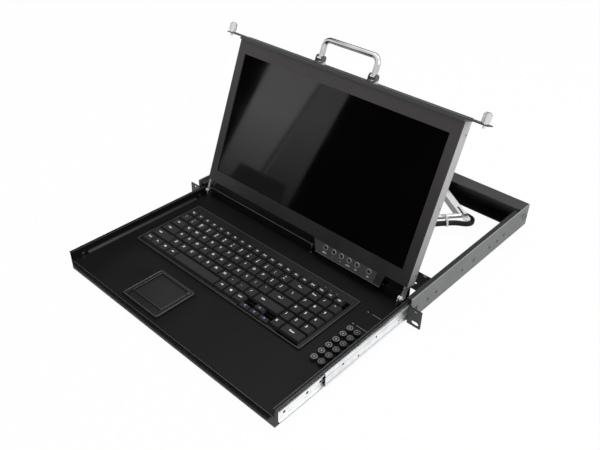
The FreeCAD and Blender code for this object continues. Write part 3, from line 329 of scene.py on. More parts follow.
def finished(name, shape, material, body, angle=35):
    """Closes a shape into a named piece that rides on a body and takes its finish from a slot."""
    bmesh.ops.recalc_face_normals(shape, faces=shape.faces)
    mesh = bpy.data.meshes.new(name)
    shape.to_mesh(mesh)
    shape.free()
    mesh.shade_smooth()
    mesh.set_sharp_from_angle(angle=math.radians(angle))
    mesh.materials.append(material)
    piece = bpy.data.objects.new(name, mesh)
    scene.collection.objects.link(piece)
    if body:
        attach(piece, body)
    return piece


def turned(outline, steps=32):
    """A turned shape about Z from an outline of (radius, height) points."""
    shape = bmesh.new()
    rim = [shape.verts.new((radius, 0, height)) for radius, height in outline]
    lines = [shape.edges.new(pair) for pair in zip(rim, rim[1:])]
    bmesh.ops.spin(
        shape, geom=rim + lines, cent=(0, 0, 0), axis=(0, 0, 1), angle=2 * math.pi, steps=steps,
        use_merge=True,
    )
    bmesh.ops.remove_doubles(shape, verts=shape.verts, dist=0.000001)
    return shape


def block(across, deep, high, round_off=0.0, segments=2):
    """A box between limits with its edges rounded off."""
    shape = bmesh.new()
    size = [limits[1] - limits[0] for limits in (across, deep, high)]
    centre = [sum(limits) / 2 for limits in (across, deep, high)]
    bmesh.ops.create_cube(shape, size=1, matrix=Matrix.Translation(centre) @ Matrix.Diagonal((*size, 1)))
    if round_off:
        bmesh.ops.bevel(
            shape, geom=shape.edges[:], offset=round_off, segments=segments, profile=0.5,
            affect="EDGES", material=-1,
        )
    return shape


def repeated(source, places):
    """One shape set down at each of several places."""
    whole = bmesh.new()
    once = bpy.data.meshes.new("once")
    source.to_mesh(once)
    source.free()
    for place in places:
        start = len(whole.verts)
        whole.from_mesh(once)
        whole.verts.ensure_lookup_table()
        bmesh.ops.transform(whole, matrix=place, verts=whole.verts[start:])
    bpy.data.meshes.remove(once)
    return whole


def joined(shapes):
    whole = bmesh.new()
    for shape in shapes:
        once = bpy.data.meshes.new("once")
        shape.to_mesh(once)
        shape.free()
        whole.from_mesh(once)
        bpy.data.meshes.remove(once)
    return whole


def at(across, deep, high):
    return Matrix.Translation((across, deep, high))


def towards(side):
    """Turns a shape made along Z to lie along X, outwards on that side."""
    return Matrix.Rotation(math.radians(90 * side), 4, "Y")


plate_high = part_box("side_plate_right")[1]


def side_plate_paint():
    """Speckled grey outside with a painted highlight along the top edge, and painted shade on the inner side.
    """
    # A light band along the top edge of the plate: painted highlight.
    material = zoned(
        "textured_grey_paint", (0.118, 0.126, 0.122), (0.3, 0.31, 0.305), 2,
        plate_high.z - 0.0012, plate_high.z - 0.0003, 0.45, 0.5, grain=700, depth=0.0001, speckle=0.42,
    )
    tree = material.node_tree
    shader = tree.nodes["Principled BSDF"]
    split = tree.nodes.new("ShaderNodeSeparateXYZ")
    tree.links.new(tree.nodes["Texture Coordinate"].outputs["Object"], split.inputs[0])
    width = tree.nodes.new("ShaderNodeMath")
    width.operation = "ABSOLUTE"
    tree.links.new(split.outputs[0], width.inputs[0])
    # Everything inboard of the outer face is drawn near-black: painted shade on the plate's inner side.
    outside = spread(tree, width.outputs[0], 0.0, 1.0, 0.2209, 0.2215)
    blend = tree.nodes.new("ShaderNodeMix")
    blend.data_type = "RGBA"
    blend.inputs["A"].default_value = (0.032, 0.033, 0.033, 1)
    tree.links.new(outside, blend.inputs["Factor"])
    tree.links.new(shader.inputs["Base Color"].links[0].from_socket, blend.inputs["B"])
    tree.links.new(blend.outputs["Result"], shader.inputs["Base Color"])
    return material


frame_coat = side_plate_paint()
ear_coat = coat("textured_black_paint", (0.009, 0.0095, 0.01), 0.4, 0.5, grain=900, depth=0.00006)
channel_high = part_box("rear_channel")[1]
# The rear channel is drawn near-black with a grey band along its top: painted shade inside and a painted lit
# top flange.
channel_shaded_coat = zoned(
    "channel_paint_shaded", (0.007, 0.007, 0.0072), (0.07, 0.07, 0.071), 2,
    channel_high.z - 0.0016, channel_high.z - 0.0008, 0.32, 0.4, grain=900,
)
for name in ("side_plate_left", "side_plate_right"):
    paint(name, frame_coat, 0.0005, 3)
paint("rear_channel", channel_shaded_coat, 0.0005, 3)
for name in ("rack_ear_left", "rack_ear_right"):
    paint(name, ear_coat, 0.0004, 3)


def plated(name, colour, roughness, metallic=1.0, grain=(60, 60, 60), depth=0.00002):
    """Plated or bare metal with a drawn grain and faint stains."""
    material, tree, shader, place = shader_tree(name)
    drawn = fine_noise(tree, scaled(tree, place, grain), 8, 5.0, 0.65)
    stains = fine_noise(tree, place, 45, 4.0)
    stops = [(0.25, tint(colour, 0.82)), (0.55, colour), (0.8, tint(colour, 1.08))]
    tree.links.new(ramp(tree, stains, stops), shader.inputs["Base Color"])
    tree.links.new(spread(tree, drawn, roughness * 0.7, roughness * 1.4), shader.inputs["Roughness"])
    shader.inputs["Metallic"].default_value = metallic
    add_bump(tree, shader, drawn, depth)
    return material


screw_metal = plated("screw_plate", (0.55, 0.55, 0.56), 0.3)
# Near-black patches for holes, slots, coin slots and screw recesses: painted shade where openings and
# recesses are dark.
recess_shade_black = coat("screw_recess", (0.01, 0.01, 0.011), 0.6, 0.2)
paint("frame_screws", coat("painted_rivets", (0.1, 0.108, 0.104), 0.4, 0.5), 0.0002)
paint("arm_bracket_rear", screw_metal)

# --- plate openings -----------------------------------------------------------------
# A short pair of slots behind the ears and two more near the back of each side plate,
# where the frame is bolted into a rack post; each is a thin near-black patch on the plate,
# painted shade for the opening.
SLOT_PLACES = ((0.0145, 0.0), (0.3225, 0.006), (0.3225, -0.004))
for side, label in ((-1, "left"), (1, "right")):
    outer = plate_high.x if side > 0 else -plate_high.x
    slots = [
        block((outer - 0.00005, outer + 0.00005), (deep - 0.0035, deep + 0.0035),
              (0.0159 + rise - 0.0012, 0.0159 + rise + 0.0012))
        for deep, rise in SLOT_PLACES
    ]
    finished("plate_slots_" + label, joined(slots), recess_shade_black, "frame")

# --- slides -------------------------------------------------------------------------
# Three-part ball-bearing slides, rolled from bright zinc-plated steel; the grooves along
# their faces are grey lines of painted shade, and the pressed holes for the screws are
# near-black discs of painted shade.


def rolled_zinc(name, grooves, half_width):
    """Bright zinc with painted shade lines where the rolled grooves run, at given heights."""
    material = plated(name, (0.9, 0.91, 0.92), 0.34, grain=(200, 4, 200), depth=0.000004)
    tree = material.node_tree
    shader = tree.nodes["Principled BSDF"]
    split = tree.nodes.new("ShaderNodeSeparateXYZ")
    tree.links.new(tree.nodes["Texture Coordinate"].outputs["Object"], split.inputs[0])
    groove_shade = None
    for groove in grooves:
        away = tree.nodes.new("ShaderNodeMath")
        away.operation = "COMPARE"
        away.inputs[1].default_value = groove
        away.inputs[2].default_value = half_width
        tree.links.new(split.outputs[2], away.inputs[0])
        if groove_shade is None:
            groove_shade = away.outputs[0]
        else:
            most = tree.nodes.new("ShaderNodeMath")
            most.operation = "MAXIMUM"
            tree.links.new(groove_shade, most.inputs[0])
            tree.links.new(away.outputs[0], most.inputs[1])
            groove_shade = most.outputs[0]
    # Grey lines along the grooves in the bright zinc: painted shade in the creases.
    blend = tree.nodes.new("ShaderNodeMix")
    blend.data_type = "RGBA"
    blend.inputs["B"].default_value = (0.42, 0.42, 0.43, 1)
    tree.links.new(groove_shade, blend.inputs["Factor"])
    tree.links.new(shader.inputs["Base Color"].links[0].from_socket, blend.inputs["A"])
    tree.links.new(blend.outputs["Result"], shader.inputs["Base Color"])
    return material


slide_middle = sum(corner.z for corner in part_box("slide_inner_right")) / 2
groove_levels = (slide_middle + 0.0062, slide_middle - 0.0055, slide_middle - 0.0072)
zinc = rolled_zinc("bright_zinc", groove_levels, 0.00045)
for side in ("left", "right"):
    for part in ("outer", "middle", "inner"):
        paint("slide_%s_%s" % (part, side), zinc, 0.0002)
web_sheet = 0.001
for side, label in ((-1, "left"), (1, "right")):
    inner_face = min(abs(corner.x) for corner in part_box("slide_inner_" + label)) + web_sheet
    middle_face = max(abs(corner.x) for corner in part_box("slide_middle_" + label))
    # Near-black discs over the slide's screw holes: painted shade.
    hole = turned([(0, 0), (0.0021, 0), (0.0021, 0.00006), (0, 0.00006)], 20)
    places = [at(side * inner_face, deep, slide_middle) @ towards(side) for deep in (-0.24, -0.2, -0.176)]
    finished("slide_holes_" + label, repeated(hole, places), recess_shade_black, "tray")
    # Near-black discs over the pressed holes: painted shade.
    pressed = turned([(0, 0), (0.0016, 0), (0.0016, 0.00006), (0, 0.00006)], 20)
    places = [
        at(side * middle_face, deep, slide_middle + rise) @ towards(side)
        for deep, rise in ((-0.138, 0.005), (-0.107, -0.003), (-0.07, 0.004), (-0.02, 0.0))
    ]
    finished(
        "middle_holes_" + label, repeated(pressed, places), recess_shade_black,
        "slide_middle_" + label,
    )

# --- tray ---------------------------------------------------------------------------
# Pressed steel tray, deck and hinge housing in a smooth black coat, whose bent edges
# catch the light; thin light strips along them add a painted highlight.  Small countersunk
# screws hold the deck's walls.
housing_low, housing_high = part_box("hinge_housing")
deck_level = housing_low.z
tray_coat = coat("tray_black_coat", (0.0045, 0.004, 0.0042), 0.36, 0.25, depth=0.00001, grain=2500)
deck_coat = coat("deck_black_coat", (0.0048, 0.004, 0.0043), 0.45, 0.2, depth=0.00001, grain=2500)
# A grey far lighter than the black coat, for thin strips along edges: painted highlight.
edge_highlight_coat = coat("painted_edge_highlight", (0.1, 0.098, 0.1), 0.3, 0.6, grain=1200)
paint("tray_pan", tray_coat, 0.0005, 3)
paint("deck_plate", deck_coat, 0.0004, 3)
paint("hinge_housing", tray_coat, 0.0008, 3)
paint("rear_cover", tray_coat, 0.0004)
paint("main_board", coat("board_mask", (0.002, 0.012, 0.006), 0.4, 0.4), 0)
paint("hinge_brackets", screw_metal)
paint("tray_screws", screw_metal, 0)
paint("indicator_leds", coat("lamp_lens", (0.1, 0.1, 0.1), 0.2, 0.5), 0)

tray_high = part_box("tray_pan")[1]
# Two thin light strips along the top of each flange: painted highlight.
for side, label in ((-1, "left"), (1, "right")):
    edges = []
    for across, width in ((0.2153, 0.0004), (0.2112, 0.0003)):
        near, far = sorted((side * (across - width), side * (across + width)))
        far = min(far, tray_high.x)
        near = max(near, -tray_high.x)
        levels = (tray_high.z - 0.0006, tray_high.z + 0.00006)
        edges.append(block((near, far), (-0.2545, 0.03), levels, 0.00005, 1))
    finished("flange_edges_" + label, joined(edges), edge_highlight_coat, "tray")
# A thin light strip along the tray's front lip: painted highlight.
lip_level = 0.010875
lip = block((-0.2137, 0.2137), (-0.2547, -0.2541), (lip_level - 0.0006, lip_level + 0.00006), 0.00005, 1)
finished("front_lip_edge", lip, edge_highlight_coat, "tray")


def wall_fillet(side):
    """The rounded foot where a side wall is bent out of the deck."""
    shape = bmesh.new()
    corner = (side * 0.21085, deck_level - 0.00005)
    radius = 0.0045
    arc = [
        (corner[0] - side * radius * (1 - math.sin(turn)), corner[1] + radius * (1 - math.cos(turn)))
        for turn in (math.radians(15 * step) for step in range(7))
    ]
    outline = [shape.verts.new((across, -0.228, high)) for across, high in arc + [corner]]
    shape.faces.new(outline)
    swept = bmesh.ops.extrude_face_region(shape, geom=shape.faces[:])
    far_end = [item for item in swept["geom"] if isinstance(item, bmesh.types.BMVert)]
    bmesh.ops.translate(shape, verts=far_end, vec=(0, 0.212, 0))
    return shape


fillet_coat = coat("fillet_black_coat", (0.008, 0.0075, 0.0077), 0.4, 0.35, depth=0.00001, grain=2500)
for side, label in ((-1, "left"), (1, "right")):
    finished("wall_fillet_" + label, wall_fillet(side), fillet_coat, "tray", 50)
# A thin light rod along the housing's front top edge: painted highlight.
front_edge = turned([(0, 0), (0.00055, 0), (0.00055, 0.2305), (0, 0.2305)], 12)
bmesh.ops.transform(
    front_edge, verts=front_edge.verts,
    matrix=at(-0.198, housing_low.y + 0.0004, housing_high.z - 0.0004) @ Matrix.Rotation(math.pi / 2, 4, "Y"),
)
finished("housing_front_edge", front_edge, edge_highlight_coat, "tray")
tip = joined([
    block((0.0322, 0.034), (housing_low.y - 0.0001, housing_low.y + 0.004),
          (housing_high.z - 0.0085, housing_high.z), 0.0003),
    block((0.0316, 0.0336), (housing_low.y - 0.0012, housing_low.y + 0.0012),
          (deck_level + 0.0008, deck_level + 0.003), 0.0003),
])
finished("notch_tip", tip, screw_metal, "tray")


def cross_recess(width, thick=0.00006):
    """The cross-shaped recess of a screw, as two thin bars."""
    half = width / 2
    bar = width / 7
    return joined([
        block((-half, half), (-bar, bar), (0, thick)),
        block((-bar, bar), (-half, half), (0, thick)),
    ])


screw_places = [
    at(side * 0.21058, deep, 0.014875) @ towards(-side) for side in (-1, 1) for deep in (-0.236, -0.008)
] + [at(side * 0.202, 0.064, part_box("tray_screws")[1].z) for side in (-1, 1)]
# Near-black crosses on the screw heads: painted shade for their recesses.
screw_crosses = repeated(cross_recess(0.0028), screw_places)
finished("tray_screw_recesses", screw_crosses, recess_shade_black, "tray")

# --- rear connectors ----------------------------------------------------------------
# A power inlet, a pair of display and keyboard sockets and a row of network sockets in
# the rear cover: moulded bodies in plated shells.
shell_plate = plated("connector_plate", (0.6, 0.6, 0.61), 0.3)
paint("rear_ports", shell_plate, 0.0002)
ports_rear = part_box("rear_ports")[1].y
MIDDLE_LEVEL = 0.015875


def socket_face(across, half, low, high, inset):
    return block(
        (across - half + inset, across + half - inset), (ports_rear - 0.0001, ports_rear + 0.00008),
        (MIDDLE_LEVEL + low + inset, MIDDLE_LEVEL + high - inset),
    )


mouths = [socket_face(-0.17, 0.014, -0.0135, 0.0065, 0.0016),
          socket_face(-0.128, 0.012, -0.009, 0.002, 0.0011),
          socket_face(0.032, 0.009, -0.01, 0.004, 0.0011)]
mouths += [socket_face(0.056 + 0.02 * step, 0.007, -0.009, 0.004, 0.0009) for step in range(6)]
socket_black = coat("socket_black", (0.008, 0.008, 0.008), 0.5, 0.3)
finished("socket_mouths", joined(mouths), socket_black, "tray")
pins = [
    block((-0.17 + across - 0.001, -0.17 + across + 0.001), (ports_rear, ports_rear + 0.00025),
          (MIDDLE_LEVEL - 0.0035 + rise - 0.002, MIDDLE_LEVEL - 0.0035 + rise + 0.002), 0.00005, 1)
    for across, rise in ((-0.007, -0.0015), (0.0, 0.002), (0.007, -0.0015))
]
pins += [
    block((0.056 + 0.02 * step + 0.001 * pin - 0.0002, 0.056 + 0.02 * step + 0.001 * pin + 0.0002),
          (ports_rear, ports_rear + 0.0002), (MIDDLE_LEVEL - 0.0005, MIDDLE_LEVEL + 0.0028))
    for step in range(6) for pin in range(-4, 5, 1)
]
pins += [
    block((centre + 0.0023 * pin - 0.0004, centre + 0.0023 * pin + 0.0004), (ports_rear, ports_rear + 0.0002),
          (MIDDLE_LEVEL + level + 0.0018 * row - 0.0004, MIDDLE_LEVEL + level + 0.0018 * row + 0.0004))
    for centre, level in ((-0.128, -0.0035), (0.032, -0.003))
    for row in (-1, 0, 1) for pin in (-2, -1, 0, 1, 2)
]
finished("socket_pins", joined(pins), screw_metal, "tray")

# --- keyboard -----------------------------------------------------------------------
# Low scissor keys in matt black plastic in a moulded frame, with printed legends.
# Key plastic drawn lighter at the left of the keyboard and darker at the right: a painted light gradient.
key_shaded_coat = zoned(
    "key_black_shaded", (0.021, 0.0195, 0.02), (0.0115, 0.0105, 0.011), 0, -0.12, 0.12, 0.46, 0.4, grain=3000
)
frame_plastic = coat("frame_black", (0.011, 0.0102, 0.0105), 0.38, 0.35, grain=3000)
paint("keyboard_frame", frame_plastic, 0.0008, 3)
paint("keyboard_base", coat("base_black", (0.003, 0.003, 0.003), 0.6, 0.15))
KEY_ROWS = ("functions", "numbers", "upper_letters", "middle_letters", "lower_letters", "space")
for row in KEY_ROWS:
    paint("key_row_" + row, key_shaded_coat, 0.0006, 3)
key_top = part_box("key_row_numbers")[1].z
ink = coat("legend_ink", (0.88, 0.88, 0.88), 0.5, 0.3, speckle=0.06)
blue_ink = coat("arrow_ink", (0.3, 0.34, 0.85), 0.5, 0.3, speckle=0.06)


def lettering(text, size, across, deep, level):
    """A printed character as a thin raised shape at a place on a level face."""
    curve = bpy.data.curves.new("print", "FONT")
    curve.body = text
    curve.size = size
    curve.extrude = 0.00003
    curve.offset = size * 0.03
    curve.resolution_u = 2
    curve.align_x = "CENTER"
    curve.align_y = "CENTER"
    carrier = bpy.data.objects.new("print", curve)
    scene.collection.objects.link(carrier)
    bpy.context.view_layer.update()
    flat = bpy.data.meshes.new_from_object(carrier.evaluated_get(bpy.context.evaluated_depsgraph_get()))
    bpy.data.objects.remove(carrier)
    bpy.data.curves.remove(curve)
    shape = bmesh.new()
    shape.from_mesh(flat)
    bpy.data.meshes.remove(flat)
    bmesh.ops.remove_doubles(shape, verts=shape.verts, dist=0.000001)
    bmesh.ops.transform(shape, matrix=at(across, deep, level), verts=shape.verts)
    return shape


KEY_PITCH = 0.0186
KEY_START = -0.181
NUMPAD = (0.1073, 0.1259, 0.1445)


def row_places(widths, start=KEY_START, pitch=KEY_PITCH):
    places = []
    for width in widths:
        places.append(start + width * pitch / 2)
        start += width * pitch
    return places


def print_row(row, labels, ink_material, name):
    shapes = []
    for text, across, deep, size in labels:
        shapes.append(lettering(text, size, across, deep, key_top + 0.00002))
    finished(name, joined(shapes), ink_material, "keys_" + row, 60)


main_size = 0.0058
small_size = 0.0037
functions = ["Esc"] + ["F%d" % number for number in range(1, 13)]
functions += ["Prt", "Scr", "Ins", "Del", "Hm", "PU", "PD"]
function_places = row_places([1] * 20, pitch=0.0164)
print_row(
    "functions",
    [(text, across, -0.0508, small_size * 1.05) for text, across in zip(functions, function_places)],
    ink, "legends_functions",
)
number_places = row_places([1] * 13 + [2])
labels = []
for text, shifted, across in zip("`1234567890-=", "~!@#$%^&*()_+", number_places):
    labels.append((text, across - 0.0022, -0.0699, main_size * 0.85))
    labels.append((shifted, across - 0.0022, -0.0651, main_size * 0.75))
labels.append(("<--", number_places[13], -0.0672, main_size))
labels += [(text, across - 0.002, -0.0655, size) for text, across, size in
           (("Num", NUMPAD[0], small_size), ("/", NUMPAD[1], main_size), ("*", NUMPAD[2], main_size))]
print_row("numbers", labels, ink, "legends_numbers")
upper_places = row_places([1.5] + [1] * 12 + [1.5])
labels = [
    (text, across - 0.0018, -0.0845, main_size)
    for text, across in zip("QWERTYUIOP[]", upper_places[1:13])
]
labels.append(("Tab", upper_places[0] - 0.003, -0.085, small_size))
labels.append(("\\", upper_places[13] - 0.003, -0.0845, main_size))
labels += [(text, across - 0.0035, -0.084, main_size) for text, across in zip("789", NUMPAD)]
print_row("upper_letters", labels, ink, "legends_upper_letters")
middle_places = row_places([1.75] + [1] * 11 + [2.25])
labels = [
    (text, across - 0.0018, -0.103, main_size)
    for text, across in zip("ASDFGHJKL;'", middle_places[1:12])
]
labels.append(("Caps", middle_places[0] - 0.004, -0.1035, small_size))
labels.append(("<--'", middle_places[12] - 0.002, -0.1035, main_size))
labels += [(text, across - 0.0035, -0.1025, main_size) for text, across in zip("456", NUMPAD)]
print_row("middle_letters", labels, ink, "legends_middle_letters")
lower_places = row_places([2.25] + [1] * 10 + [2.75])
labels = [
    (text, across - 0.0018, -0.1215, main_size)
    for text, across in zip("ZXCVBNM,./", lower_places[1:11])
]
labels.append(("Shift", lower_places[0] - 0.009, -0.122, small_size))
labels.append(("Shift", lower_places[11] - 0.012, -0.122, small_size))
labels += [(text, across - 0.0035, -0.121, main_size) for text, across in zip("123", NUMPAD)]
print_row("lower_letters", labels, ink, "legends_lower_letters")
space_places = row_places([1, 1, 1, 1, 5, 1, 1, 1])
labels = [(text, across, -0.1405, small_size * 1.1) for text, across in
          (("Ctrl", space_places[0]), ("Fn", space_places[1]), ("Alt", space_places[3]),
           ("Alt", space_places[5]), ("Ctrl", space_places[7]))]
labels.append(("0", NUMPAD[0] - 0.0035, -0.1395, main_size))
labels.append(("Enter", NUMPAD[1] + 0.0075, -0.141, small_size * 1.1))
print_row("space", labels, ink, "legends_space")
diamond = [
    block((across - 0.0018, across + 0.0018), (-0.1418, -0.1386), (key_top, key_top + 0.00005), 0.0, 1)
    for across in (space_places[2], space_places[6])
]
finished("command_key_marks", joined(diamond), ink, "keys_space")
arrows = (("<", 0.0515, -0.1487), ("v", 0.0701, -0.1487), (">", 0.0887, -0.1487), ("^", 0.0701, -0.139))
labels = [(text, across, deep, main_size * 1.1) for text, across, deep in arrows]
print_row("space", labels, blue_ink, "legends_arrows")


def rim(across, deep, high, width, corner, round_off):
    """A rounded rectangular rim: an outline, its rounded corners, an inset and a raised ring."""
    shape = bmesh.new()
    centre = at(sum(across) / 2, sum(deep) / 2, high[0])
    size = (across[1] - across[0], deep[1] - deep[0], 1, 1)
    bmesh.ops.create_grid(shape, x_segments=1, y_segments=1, size=0.5, matrix=centre @ Matrix.Diagonal(size))
    bmesh.ops.bevel(
        shape, geom=shape.verts[:], offset=corner, segments=4, profile=0.5, affect="VERTICES", material=-1
    )
    bmesh.ops.inset_region(
        shape, faces=shape.faces[:], thickness=width, use_even_offset=True, use_boundary=True
    )
    centre_face = max(shape.faces, key=lambda face: len(face.verts))
    bmesh.ops.delete(shape, geom=[centre_face], context="FACES_ONLY")
    ring = bmesh.ops.extrude_face_region(shape, geom=shape.faces[:])
    raised = [item for item in ring["geom"] if isinstance(item, bmesh.types.BMVert)]
    bmesh.ops.translate(shape, verts=raised, vec=(0, 0, high[1] - high[0]))
    bmesh.ops.recalc_face_normals(shape, faces=shape.faces[:])
    sharp = [
        edge for edge in shape.edges
        if edge.calc_face_angle(0) > 1.2 and min(vert.co.z for vert in edge.verts) > high[0]
    ]
    if round_off:
        bmesh.ops.bevel(
            shape, geom=sharp, offset=round_off, segments=3, profile=0.5, affect="EDGES", material=-1
        )
    return shape


frame_low, frame_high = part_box("keyboard_frame")
# A grey four times lighter than the frame plastic, for thin rims round the keyboard and touchpad: painted
# highlight.
rim_highlight_coat = coat("rim_painted_highlight", (0.045, 0.043, 0.044), 0.28, 0.7, grain=2500)
outline = rim(
    (frame_low.x + 0.0002, frame_high.x - 0.0002), (frame_low.y + 0.0002, frame_high.y - 0.0002),
    (frame_high.z - 0.0004, frame_high.z + 0.0002), 0.0011, 0.0025, 0.0003,
)
finished("keyboard_outline", outline, rim_highlight_coat, "tray")

# --- touchpad -----------------------------------------------------------------------
# A small framed touchpad: a rounded raised rim, a recessed pad with its own thin border,
# and two slim buttons in front of it.
paint("touchpad_frame", frame_plastic, 0.0009, 3)
pad_coat = coat("touchpad_black", (0.016, 0.0152, 0.0155), 0.4, 0.35, grain=2200, depth=0.00005)
paint("touchpad_surface", pad_coat, 0.0002)
for side in ("left", "right"):
    paint("touchpad_button_" + side, frame_plastic, 0.0006, 3)
pad_low, pad_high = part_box("touchpad_frame")
# Lighter raised rims round the pad and its border: painted highlight.
pad_rim = joined([
    rim((pad_low.x + 0.0004, pad_high.x - 0.0004), (pad_low.y + 0.0004, pad_high.y - 0.0004),
        (pad_high.z - 0.0004, pad_high.z + 0.0005), 0.0016, 0.004, 0.0005),
    rim((-0.0878, -0.0247), (-0.2338, -0.1822), (pad_high.z - 0.0004, pad_high.z + 0.0003),
        0.0009, 0.0015, 0.0003),
])
finished("touchpad_rim", pad_rim, rim_highlight_coat, "tray")
finished(
    "touchpad_mark",
    block((-0.0262, -0.0238), (-0.1857, -0.1843), (pad_high.z - 0.0002, pad_high.z + 0.0001), 0.00005, 1),
    coat("mark_grey", (0.22, 0.22, 0.22), 0.4, 0.4), "tray",
)

# --- port buttons -------------------------------------------------------------------
# Two rows of six round push buttons that choose the computer; each has a raised bright
# ring, a dished dark face and a small lamp window in its middle.
button_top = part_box("port_buttons_inner")[1].z
PORT_START = -0.1537
PORT_STEP = 0.01424
ring_outline = [(0.0033, -0.0002), (0.0034, 0.0003), (0.0038, 0.00052), (0.0042, 0.0005), (0.0045, 0.0002),
                (0.0045, -0.0002), (0.0033, -0.0002)]
window_outline = [(0, -0.0001), (0.0011, -0.0001), (0.0011, 0.0001), (0.0008, 0.00028), (0, 0.00032)]
# The inner row's rings and windows are drawn twice as light as the outer row's: painted light, as both rows
# are the same buttons.
for row, across, shade in (("inner", 0.1842, 0.2), ("outer", 0.1964, 0.1)):
    paint("port_buttons_" + row, coat("button_grey_" + row, (0.02, 0.0195, 0.02), 0.3, 0.5), 0.0005, 3)
    places = [at(across, PORT_START + PORT_STEP * step, button_top) for step in range(6)]
    ring_paint = coat("button_ring_" + row, (shade, shade, shade * 1.01), 0.3, 0.5)
    rings = repeated(turned(ring_outline, 28), places)
    finished("port_rings_" + row, rings, ring_paint, "port_buttons_" + row)
    dot_paint = coat("button_window_" + row, (shade * 1.8, shade * 1.8, shade * 1.8), 0.3, 0.5)
    windows = repeated(turned(window_outline, 16), places)
    finished("port_windows_" + row, windows, dot_paint, "port_buttons_" + row)
marks = [
    block((0.1775, 0.1795), (-0.0692, -0.0678), (deck_level, deck_level + 0.00006)),
    block((0.184, 0.204), (-0.0688, -0.0682), (deck_level, deck_level + 0.00006)),
    block((0.1782, 0.1802), (-0.037, -0.0356), (deck_level, deck_level + 0.00006)),
    block((0.186, 0.2014), (-0.0366, -0.036), (deck_level, deck_level + 0.00006)),
    block((0.203, 0.2042), (-0.079, -0.078), (deck_level, deck_level + 0.00006)),
    block((0.2028, 0.2042), (-0.13, -0.129), (deck_level, deck_level + 0.00006)),
]
finished("deck_marks", joined(marks), coat("deck_print", (0.3, 0.3, 0.3), 0.5, 0.3), "tray")

# --- screen -------------------------------------------------------------------------
# The display in its steel case: a smooth dark bezel, a back cover, a textured front panel
# that closes the rack, and a dark glossy screen.
SCREEN_TILT = math.radians(21.03)
lcd_place = at(0, 0.00684, 0.021575) @ Matrix.Rotation(-SCREEN_TILT, 4, "X")
facing = Matrix.Rotation(math.pi / 2, 4, "X")
# The bezel goes from near-black at its foot to dark grey at its top: painted shading.
bezel_shaded_coat = zoned(
    "bezel_dark_shaded_coat", (0.0055, 0.0042, 0.005), (0.042, 0.036, 0.039), 2, 0.03, 0.27, 0.42, 0.6, grain=2000
)
# The back cover is drawn light grey, brightest at the top: painted light for the reflection on its side, with
# painted shade towards the hinge.
case_lit_coat = zoned(
    "case_grey_painted_light", (0.13, 0.13, 0.131), (0.46, 0.46, 0.462), 2, 0.0, 0.25, 0.36, 0.6, grain=2000
)
paint("lcd_back_cover", case_lit_coat, 0.0006, 3)
paint("lcd_bezel", bezel_shaded_coat, 0.0005, 3)
panel_coat = coat("panel_grey_paint", (0.05, 0.051, 0.051), 0.42, 0.5, grain=900, depth=0.00005, speckle=0.3)
paint("front_panel", panel_coat, 0.0004, 3)
paint("lcd_hinge_arms", screw_metal, 0.0003)
paint("lcd_screws", screw_metal, 0)


def screen_glass():
    material, tree, shader, place = shader_tree("screen_film")
    haze = fine_noise(tree, place, 12, 2.0)
    shades = [(0.3, (0.0012, 0.001, 0.0012)), (0.7, (0.002, 0.0016, 0.0018))]
    tree.links.new(ramp(tree, haze, shades), shader.inputs["Base Color"])
    tree.links.new(spread(tree, haze, 0.035, 0.06), shader.inputs["Roughness"])
    shader.inputs["Specular IOR Level"].default_value = 0.5
    return material


paint("lcd_panel", screen_glass(), 0)
# Near-black crosses on the side screws: painted shade for their recesses.
side_screws = [
    lcd_place @ at(side * 0.20632, 0.012, 0.02094 + rise) @ towards(side)
    for side in (-1, 1) for rise in (0.0159, 0.1165, 0.2194)
]
finished("lcd_screw_recesses", repeated(cross_recess(0.003), side_screws), recess_shade_black, "lcd")

# The lower tab carries the picture controls: a lighter label with six small round buttons.
label = bmesh.new()
corners = [(0.0375, 0.0195), (0.1555, 0.0195), (0.1545, 0.0022), (0.0455, 0.0022)]
label.faces.new([label.verts.new((across, -0.00402, rise)) for across, rise in corners])
label_side = bmesh.ops.extrude_face_region(label, geom=label.faces[:])
bmesh.ops.translate(
    label, vec=(0, -0.0001, 0),
    verts=[item for item in label_side["geom"] if isinstance(item, bmesh.types.BMVert)],
)
bmesh.ops.transform(label, matrix=lcd_place, verts=label.verts)
finished("control_label", label, coat("label_grey", (0.06, 0.057, 0.058), 0.5, 0.3), "lcd")
CONTROL_PLACES = (0.0612, 0.0772, 0.0918, 0.1061, 0.1211, 0.1427)
CONTROL_RISE = 0.0144
ring_outline = [(0.0031, 0), (0.0032, 0.0005), (0.0035, 0.0008), (0.0039, 0.0007), (0.0042, 0), (0.0031, 0)]
ring = turned(ring_outline, 28)
places = [lcd_place @ at(across, -0.0041, CONTROL_RISE) @ facing for across in CONTROL_PLACES]
control_ring = coat("control_ring", (0.34, 0.34, 0.345), 0.25, 0.6)
finished("control_rings", repeated(ring, places), control_ring, "lcd")
for number in range(1, 7):
    button_coat = coat("setting_button_%d" % number, (0.025, 0.025, 0.026), 0.3, 0.5)
    paint("osd_button_%d" % number, button_coat, 0.0004, 3)
words = []
for text, across in zip(("MENU", "-", "+", "AUTO", "SET", "ON"), CONTROL_PLACES):
    words.append(lettering(text, 0.0027, across, 0.0062, 0.0))
printed = joined(words)
bmesh.ops.transform(
    printed, matrix=lcd_place @ at(0, -0.00413, 0) @ Matrix.Rotation(math.pi / 2, 4, "X"), verts=printed.verts
)
finished("control_words", printed, ink, "lcd", 60)
# A light strip along the tab's lower edge: painted highlight.
edge = block((0.0445, 0.166), (-0.0042, -0.0036), (0.00095, 0.0016), 0.0001, 1)
bmesh.ops.transform(edge, matrix=lcd_place, verts=edge.verts)
finished("tab_lower_edge", edge, coat("tab_edge_painted_highlight", (0.2, 0.195, 0.2), 0.3, 0.6), "lcd")

